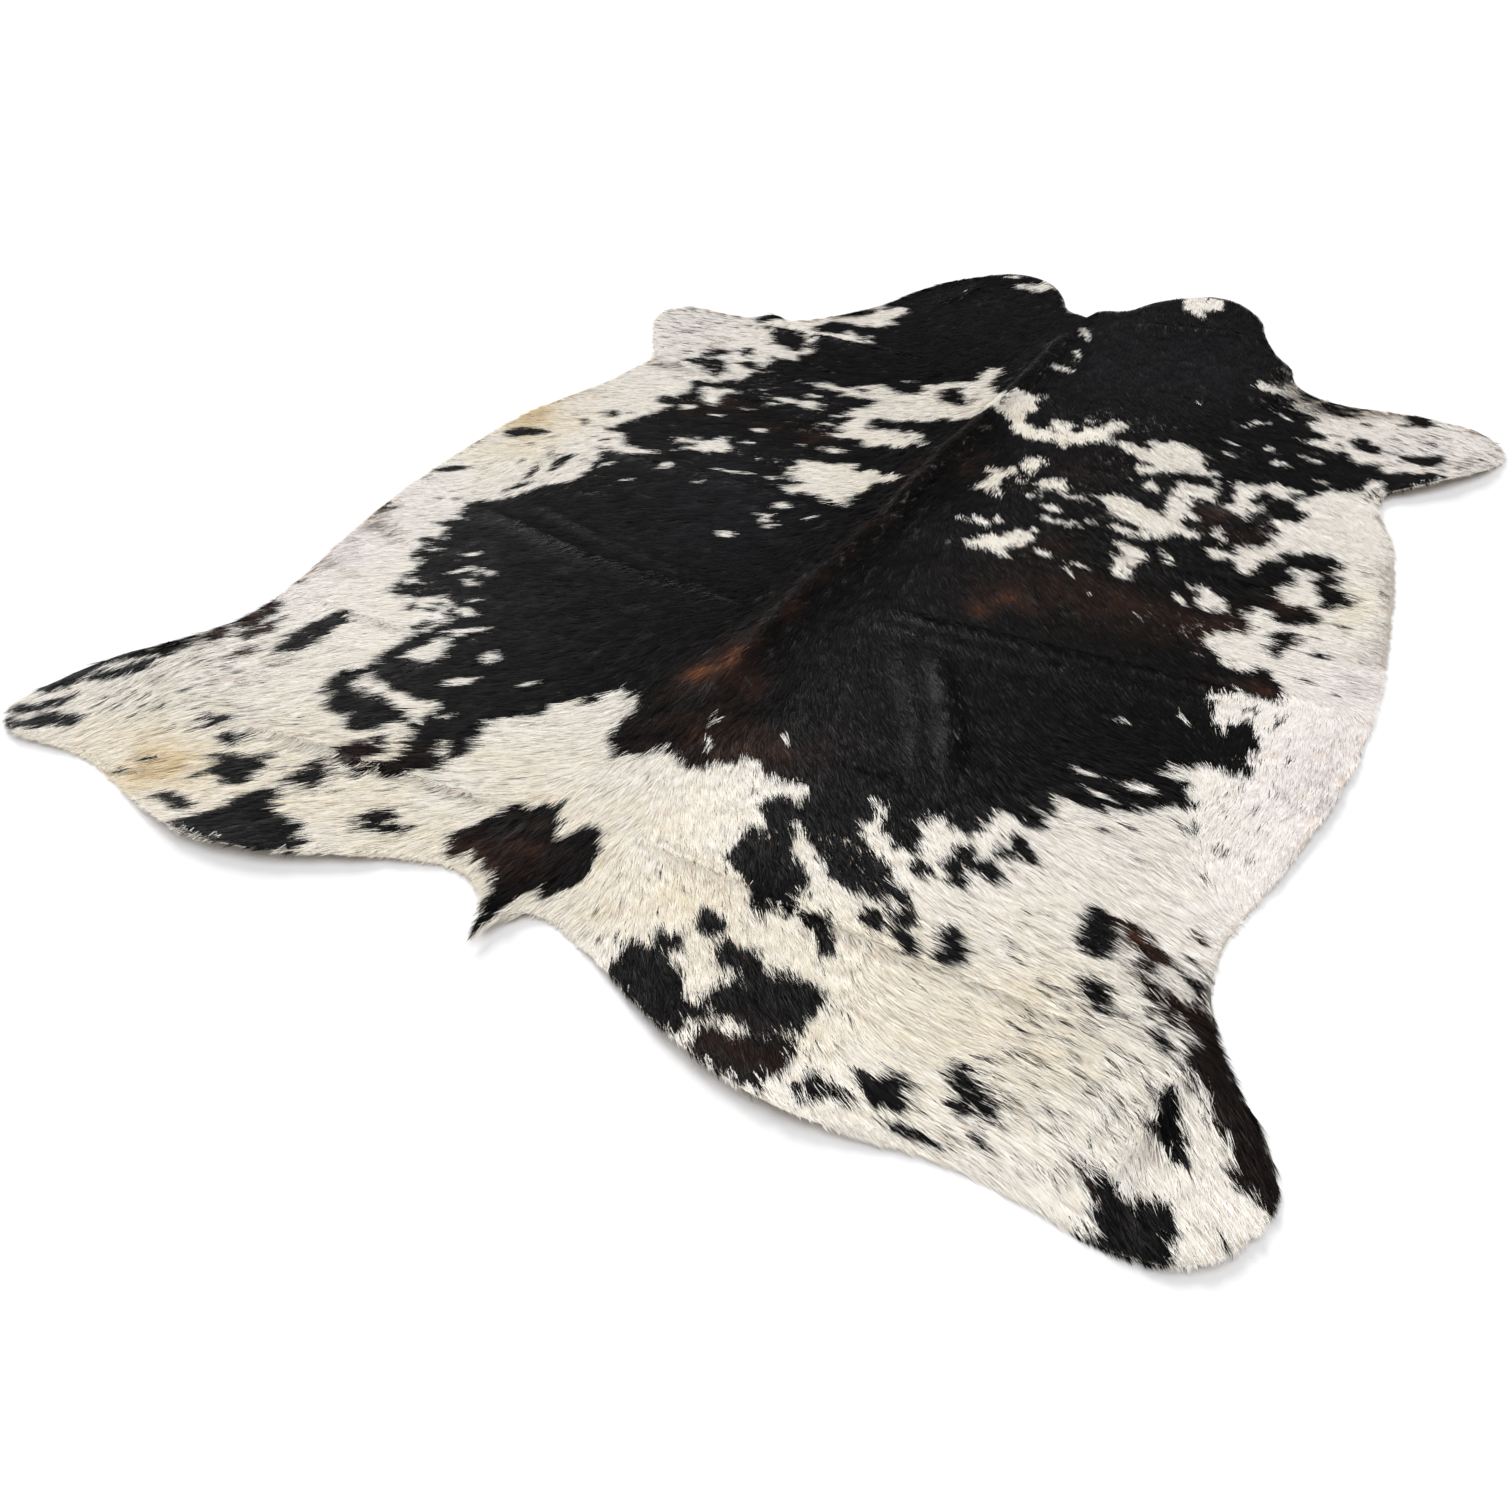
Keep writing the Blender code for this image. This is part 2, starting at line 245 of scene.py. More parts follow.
# The dark saddle, once round. Beyond the edge of the hide it just runs on.
SADDLE = (
    ("left cheek", (
        (-46, 82), (-43.5, 78), (-42, 75.5), (-41, 77), (-39.5, 78), (-38, 77.5), (-37.5, 75),
        (-38.5, 71.5), (-37, 69.5), (-39, 67.5), (-42, 65.5), (-46, 66), (-49, 64), (-50.5, 61),
        (-48, 59), (-45.5, 59), (-43, 62), (-41, 61), (-38.5, 62), (-40, 59.5), (-36, 59), (-38, 57),
    )),
    ("left shoulder", (
        (-47, 56), (-47, 53), (-45.5, 49.5), (-47.5, 47), (-45.5, 44.5), (-51, 44.5), (-50, 41),
        (-50.5, 37), (-51.5, 36), (-50, 33), (-52.5, 31.5), (-53.5, 29), (-58.5, 28.5), (-57.5, 25),
        (-56.5, 22.5), (-60, 19), (-60, 17), (-58.5, 16.5), (-56.5, 17), (-58.5, 12.5), (-59.5, 8.5),
        (-61.5, 5), (-60.5, 2.5), (-57.5, 4), (-56.5, 0.5), (-54.5, -0.5), (-49.5, 0), (-51, -2.5),
        (-57, -4.5),
    )),
    ("left belly", (
        (-56, -10), (-55.5, -14), (-58, -18.5), (-60, -22), (-60.5, -24), (-62.5, -27.5), (-66, -29.5),
        (-66, -33), (-65, -35.5), (-68, -38.5), (-65, -38), (-63.5, -41), (-66, -43.5), (-64, -45),
        (-64.5, -48.5), (-60.5, -48.5), (-61, -51.5), (-60.5, -56.5), (-58, -58.5), (-55.5, -57.5),
        (-53.5, -55), (-50, -55.5), (-48.5, -57), (-48.5, -59), (-47, -60.5), (-49, -64.5),
        (-49.5, -69), (-50, -73), (-49, -75.5),
    )),
    ("left rump", (
        (-52.5, -76.5), (-52, -80.5), (-51, -83), (-49.5, -82.5), (-48, -86), (-45, -85), (-43, -88),
        (-41, -87.5), (-39, -84.5), (-36, -82.5), (-34.5, -86), (-32.5, -88.5), (-28.5, -90),
        (-26, -87.5), (-27.5, -86), (-25, -83.5), (-26.5, -80), (-27.5, -76.5), (-24, -74),
        (-22, -72.5), (-21.5, -69), (-19.5, -67), (-16, -67), (-18, -64.5), (-15.5, -62), (-13, -63),
        (-11, -65.5), (-11.5, -71), (-8.5, -75.5), (-5, -73.5), (-3, -71),
    )),
    ("right rump", (
        (-1, -71.5), (3.5, -71.5), (5.5, -69.5), (8.5, -65), (10.5, -68), (12, -69), (16, -68),
        (18.5, -69.5), (18, -71), (19, -72), (15, -71), (13.5, -73.5), (16, -77.5), (14, -78.5),
        (15, -84.5), (17, -86.5), (21, -89.5), (23.5, -92.5), (25, -90), (28, -90), (26, -87),
        (26.5, -84.5), (24, -81.5), (21.5, -80), (20, -76.5), (19.5, -74.5), (22.5, -77.5), (27, -82),
        (31, -83), (35, -82.5), (38.5, -81), (36.5, -79), (34.5, -79), (34, -76.5), (30, -75),
        (26.5, -72.5), (27.5, -68), (25.5, -66), (28.5, -66.5), (28.5, -70.5), (32, -73), (35, -73),
        (34.5, -70), (32, -67), (34.5, -65), (36.5, -67), (40, -66), (39.5, -62), (41, -60),
    )),
    ("right belly", (
        (45.5, -62), (47, -61), (46.5, -57), (45, -54.5), (50, -54), (52, -54.5), (53.5, -52),
        (57.5, -51), (59.5, -49), (61.5, -47), (60, -45.5), (59, -42.5), (57, -41), (60.5, -39),
        (65.5, -38.5), (64, -35.5), (64.5, -31.5), (62, -26), (59.5, -28.5), (60, -31), (57.5, -28.5),
        (56.5, -25.5), (55, -24.5), (58.5, -21.5), (57.5, -19), (60.5, -21), (65, -20.5), (63.5, -15.5),
        (61, -13), (58, -15.5), (55.5, -15.5), (53, -12.5), (51, -10), (53, -7), (56.5, -5), (54.5, -1),
        (56, 2.5), (58, 1.5), (58.5, -0.5), (61.5, 0), (65.5, 3.5), (62.5, 6), (58.5, 5.5), (57, 8.5),
        (58.5, 11.5), (57.5, 15), (55.5, 17), (52, 15), (51, 10), (48.5, 13), (44.5, 13),
    )),
    ("right shoulder", (
        (44.5, 15), (48.5, 15), (48, 17), (49.5, 19), (52, 19), (52.5, 22), (51, 24), (52.5, 26),
        (51, 29), (54.5, 31), (54.5, 33), (53, 34), (52.5, 36), (51, 36.5), (52, 38), (54.5, 40.5),
        (56, 43), (60, 44.5), (60.5, 49.5), (63, 49), (64, 45.5), (66, 44), (72, 54), (70, 55.5),
        (65.5, 54), (62, 52.5), (61.5, 56), (56.5, 55), (56.5, 58), (54.5, 59), (53.5, 57), (49, 58),
        (46, 59.5), (50, 60), (51, 62.5), (48, 63.5), (46.5, 66.5), (48, 69), (47, 70), (43, 70),
        (43, 73), (42, 75), (39, 75.5), (36, 75.5), (33.5, 76.5), (34, 78), (36, 78.5), (38.5, 78),
        (39.5, 81), (42, 84), (42, 120), (-46, 120),
    )),
)

WHITE_PATCHES = (
    ("right shoulder band", (
        (-4, 49.5), (-3, 51.5), (0.5, 51.5), (1.5, 54), (2.5, 53), (1.5, 51), (3, 47), (1.5, 46),
        (1.5, 43), (4.5, 40), (8, 41.5), (6, 43.5), (7, 45), (12.5, 45), (15, 46.5), (15.5, 49),
        (17, 50), (19, 49), (17, 44), (18.5, 42.5), (20.5, 43), (25, 42), (25, 45.5), (27, 46.5),
        (30.5, 47.5), (33.5, 46.5), (34.5, 43), (36, 40), (38, 40.5), (38.5, 38.5), (32.5, 37),
        (28, 34.5), (27, 33), (25, 35), (28, 37), (26.5, 38), (24, 38.5), (20, 41.5), (17.5, 41.5),
        (15, 40), (12.5, 37.5), (12, 36), (10.5, 37), (5, 36.5), (1, 38), (0.5, 40.5), (-2, 41.5),
        (-3.5, 41),
    )),
    ("right shoulder lace, middle", (
        (34, 34), (36, 33.5), (38.5, 34.5), (39, 38), (40, 34), (39.5, 32), (40, 30.5), (36.5, 28.5),
        (38, 27), (37.5, 26), (40, 23), (38, 22), (38, 19.5), (40.5, 19), (42, 17), (38.5, 17),
        (36, 14), (33, 12.5), (29, 13), (28.5, 14.5), (33, 15), (33.5, 16), (27.5, 17.5), (24, 21),
        (23.5, 22.5), (27, 24.5), (31, 22.5), (33.5, 22), (35, 23), (33.5, 26), (33, 28), (34.5, 31.5),
        (33, 33.5),
    )),
    ("right shoulder lace, outer", (
        (41.5, 38), (43, 39), (46, 37.5), (45.5, 35), (46, 32.5), (48.5, 33), (47, 29.5), (46, 27),
        (43, 28), (42, 29.5), (43.5, 31), (43, 35.5), (41.5, 36.5),
    )),
    ("right shoulder lace, top", (
        (41.5, 39), (46, 39), (48, 41), (51, 40.5), (53.5, 41.5), (50, 38.5), (51, 37), (48.5, 36.5),
        (46.5, 38), (43.5, 38.5),
    )),
    ("right shoulder lace, hook", (
        (42.5, 20.5), (44, 22), (45, 21), (45, 19.5), (46.5, 18.5), (44, 18.5),
    )),
    ("right shoulder lace, hole", ((28, 31), (29.5, 31), (31, 30), (31, 28.5), (29.5, 28), (28, 28.5))),
    ("right elbow hole", (
        (57, 10), (58.5, 11), (59, 15), (60.5, 15.5), (61, 12), (62.5, 11), (62.5, 8.5), (61.5, 7),
        (58.5, 5.5), (57, 8.5),
    )),
    ("left shoulder band", (
        (-8.5, 63), (-8.5, 62), (-10.5, 60), (-9.5, 58), (-10, 52.5), (-8.5, 51), (-4.5, 49),
        (-3.5, 42), (-6, 40), (-7, 37), (-9, 36), (-11, 36), (-12.5, 34), (-17.5, 31.5), (-20.5, 30.5),
        (-22.5, 29.5), (-22.5, 27.5), (-21, 26), (-18, 27), (-12.5, 28), (-11, 26.5), (-9, 26),
        (-9.5, 25), (-12.5, 25), (-12.5, 22.5), (-16.5, 21.5), (-19, 18.5), (-21, 21.5), (-24, 20.5),
        (-26, 21), (-24.5, 22.5), (-26.5, 23), (-25, 28), (-28.5, 29.5), (-26, 32.5), (-24, 35.5),
        (-25, 37), (-29, 36.5), (-32, 34.5), (-31.5, 36.5), (-39, 37), (-36.5, 38.5), (-32, 39),
        (-31, 40.5), (-25.5, 43), (-22.5, 41), (-20, 43), (-18.5, 45), (-20, 46.5), (-18, 48.5),
        (-14.5, 51.5), (-12.5, 53), (-12.5, 58.5), (-12, 60), (-9.5, 61.5),
    )),
    ("left rib patch", (
        (-18, 12.5), (-17, 10.5), (-15, 10.5), (-14, 12), (-12, 11), (-10, 12.5), (-8, 11.5),
        (-11.5, 8.5), (-11, 5), (-14, 3), (-12.5, 1), (-11.5, -0.5), (-12.5, -1.5), (-20, 0),
        (-22.5, -1.5), (-24.5, -0.5), (-21.5, 3), (-26, 4), (-25, 5.5), (-26.5, 6.5), (-25, 7.5),
        (-26.5, 9.5), (-21, 11),
    )),
    ("left chest patch", (
        (-41, 11), (-41, 9.5), (-39, 7.5), (-39, 6), (-41, 4.5), (-39.5, 2.5), (-41.5, 4), (-45, 3.5),
        (-47, 2), (-45, 5.5), (-50.5, 6), (-45, 7), (-43.5, 8.5), (-43, 10),
    )),
    ("left elbow patch", (
        (-55.5, 26), (-51.5, 27.5), (-49, 28), (-46.5, 26.5), (-49.5, 26.5), (-51, 26), (-50, 22.5),
        (-50, 20.5), (-51.5, 21), (-54, 23.5), (-55.5, 24),
    )),
    ("left elbow streak", (
        (-43, 28), (-39, 30), (-37.5, 29), (-35, 31), (-32, 28), (-37.5, 28), (-40, 28),
    )),
    ("left flank stripe", (
        (-48.5, -76), (-43.5, -77), (-38, -78), (-37, -76.5), (-35.5, -77), (-35, -82), (-40, -80),
        (-43.5, -79.5), (-47, -80), (-49, -78.5),
    )),
    ("left flank fork", (
        (-46, -64), (-43, -64.5), (-42.5, -69.5), (-43.5, -70.5), (-45, -69.5), (-46.5, -70.5),
        (-47, -68), (-45.5, -66.5),
    )),
    ("left rump spot", ((-30, -83), (-29, -82.5), (-28, -85.5), (-29.5, -85))),
    ("left crown patch", (
        (-19.5, 107), (-17.5, 105), (-17, 102.5), (-17.5, 100.5), (-18, 98.5), (-20.5, 99),
        (-23.5, 98.5), (-23, 101), (-21.5, 100.5), (-20, 101.5), (-19, 103),
    )),
    ("right crown patch", (
        (8, 112), (10, 109), (11, 107), (11, 104.5), (12.5, 105), (15, 102.5), (16.5, 102.5), (15, 105),
        (16.5, 107.5), (18, 108), (17.5, 110.5), (16, 113), (13.5, 111.5), (12.5, 115), (8, 117),
    )),
    ("right wither spot", (
        (7.5, 30), (10, 30.5), (12, 29.5), (10.5, 28.5), (11, 27), (11, 23.5), (9.5, 24.5), (8, 25.5),
    )),
    ("right wither hook", (
        (3, 21.5), (4.5, 23.5), (7, 24.5), (8, 23.5), (7, 21.5), (7, 17.5), (10, 14), (10, 13), (7, 15),
        (3, 15.5), (5, 18.5), (4.5, 20),
    )),
    ("right wither fleck", ((13, 23), (16.5, 25), (18, 22), (15.5, 21), (13.5, 20.5))),
    ("right back patch", (
        (10, -2), (10.5, 0), (14.5, 4), (15.5, 6), (18, 6), (19.5, 5), (17, 1), (16, -1.5), (19, -3),
        (14, -2.5),
    )),
    ("right rib patch", (
        (31.5, 5), (33.5, 5.5), (30.5, 9), (32.5, 10), (34.5, 9.5), (37, 6.5), (35, 3.5), (36, 1.5),
        (35, -1), (33.5, 0.5),
    )),
    ("right chest patch", (
        (46, 4), (49.5, 2.5), (51.5, -1), (49, -2.5), (47.5, -2), (46.5, -1), (47, 1),
    )),
)

WHITE_FLECKS = (
    # across, along, length, width, turn in degrees
    (-25.8, 103.2, 3.5, 0.9, 25), (-24.3, 104.3, 1.3, 1.0, 0), (-31.2, 91.2, 1.6, 0.7, 60),
    (-2.0, 83.2, 6.0, 1.6, -52), (0.0, 73.7, 2.8, 1.2, -45), (0.8, 70.8, 2.0, 0.6, -20),
    (0.2, 65.7, 5.0, 1.6, 12), (26.8, 65.0, 1.8, 0.6, 0), (42.0, 66.8, 3.0, 0.7, -35),
    (39.3, 62.3, 3.5, 1.2, 20), (37.3, 60.0, 2.6, 0.8, 60), (37.0, 52.2, 4.3, 0.5, -15),
    (43.2, 53.0, 1.4, 1.6, 0), (49.0, 53.2, 2.0, 0.6, 0), (51.0, 52.5, 2.4, 0.8, 20),
    (46.3, 48.6, 2.5, 2.5, 0), (37.5, 47.7, 3.0, 0.6, -30), (53.8, 45.2, 2.0, 1.0, 20),
    (12.3, 47.8, 2.0, 0.8, 0), (-23.5, 46.7, 1.8, 0.5, 0), (11.0, 21.3, 5.0, 0.8, 10),
    (18.0, 15.0, 3.6, 1.8, 0), (19.3, 11.4, 4.5, 1.2, 0), (22.3, 11.9, 3.0, 1.5, 20),
    (20.5, 20.0, 6.0, 0.7, 0), (25.0, 14.0, 1.8, 1.2, 0), (14.0, 17.3, 2.6, 0.8, 35),
    (9.6, 5.4, 3.4, 1.6, -20), (6.6, 4.6, 3.0, 0.6, 10), (12.0, 6.8, 1.6, 0.8, 40),
    (22.0, 1.1, 4.0, 1.5, -15), (28.5, 0.4, 5.0, 0.6, 0), (38.8, 9.5, 3.5, 1.5, -40),
    (40.0, 7.0, 1.5, 1.0, 0), (44.8, -1.8, 2.5, 1.0, -45), (44.8, 2.8, 2.2, 0.7, -50),
    (27.5, -2.3, 2.4, 0.6, -40), (32.3, -6.6, 1.6, 0.5, 0), (40.5, -8.8, 2.0, 0.5, -50),
    (54.0, -30.0, 2.0, 0.6, -35), (47.0, -34.8, 2.4, 0.5, 20), (18.2, 7.0, 1.6, 1.0, 0),
    (-37.7, 16.0, 2.2, 1.5, 25), (-37.5, 11.0, 1.6, 0.8, 60), (-23.2, 15.7, 3.0, 2.0, 0),
    (-28.3, 14.8, 2.0, 0.5, 0), (-53.5, 17.8, 3.0, 2.0, 45), (-47.6, 17.4, 1.5, 0.8, 0),
    (-44.0, 22.0, 1.8, 1.0, 0), (-28.6, 23.8, 1.5, 1.0, 0), (-28.3, 27.7, 2.8, 0.8, 35),
    (-36.0, 32.8, 2.6, 1.4, 20), (-41.0, 26.2, 1.6, 1.0, 0), (-45.0, 30.8, 2.6, 0.5, 15),
    (-33.2, 0.6, 5.5, 0.8, 18), (-27.5, 1.7, 2.0, 0.8, 0), (-36.7, -0.2, 2.0, 0.6, 0),
    (-44.6, -3.8, 2.6, 2.0, 40), (-37.0, -5.6, 1.6, 0.6, 30), (-48.3, -11.2, 2.6, 0.7, 35),
    (-54.2, -8.5, 2.4, 0.6, 70), (-21.2, -5.8, 2.4, 2.0, 0), (-15.3, -7.0, 2.0, 0.6, 45),
    (-22.3, -10.0, 2.2, 1.0, 0), (-21.5, -11.8, 2.4, 1.0, 0), (-19.8, -12.9, 1.8, 0.8, 0),
    (-24.7, -18.0, 2.8, 2.2, 0), (-46.3, -56.7, 3.0, 2.0, 0), (-43.0, -60.3, 5.0, 1.4, 35),
    (-44.5, -62.0, 3.0, 1.0, 0), (-36.0, -64.5, 3.5, 1.8, -60), (-36.2, -71.0, 4.5, 1.6, 45),
    (-27.5, -67.0, 2.0, 0.7, 60), (-33.0, -78.5, 2.0, 0.6, 60), (-58.8, -53.6, 2.6, 1.8, 0),
    (-55.8, -43.0, 2.2, 1.0, 55), (-51.0, -46.2, 4.5, 1.0, 0), (-54.5, -47.8, 3.0, 0.8, 60),
    (-51.0, -49.8, 3.4, 1.0, 0), (-62.0, -44.8, 2.0, 0.6, 0), (-47.5, -53.7, 3.0, 0.6, 35),
    (57.5, -42.5, 4.0, 1.4, 20), (54.0, -47.0, 4.0, 2.0, 20), (47.5, -47.5, 4.0, 0.7, 0),
    (50.0, -51.0, 4.0, 0.8, -10), (45.0, -57.8, 2.4, 0.8, 0), (1.5, -66.8, 2.0, 1.4, -40),
    (10.3, -61.0, 2.0, 0.6, -40), (-0.8, -62.0, 1.8, 0.8, -60), (76.2, -92.6, 3.5, 0.5, -48),
    (77.4, -94.8, 4.0, 0.5, -50), (79.4, -97.8, 4.5, 0.6, -52), (81.6, -99.6, 3.5, 0.4, -54),
    (75.0, -90.6, 3.0, 0.5, -40), (68.0, -77.6, 3.0, 0.5, -40), (69.4, -79.4, 2.6, 0.5, -30),
)

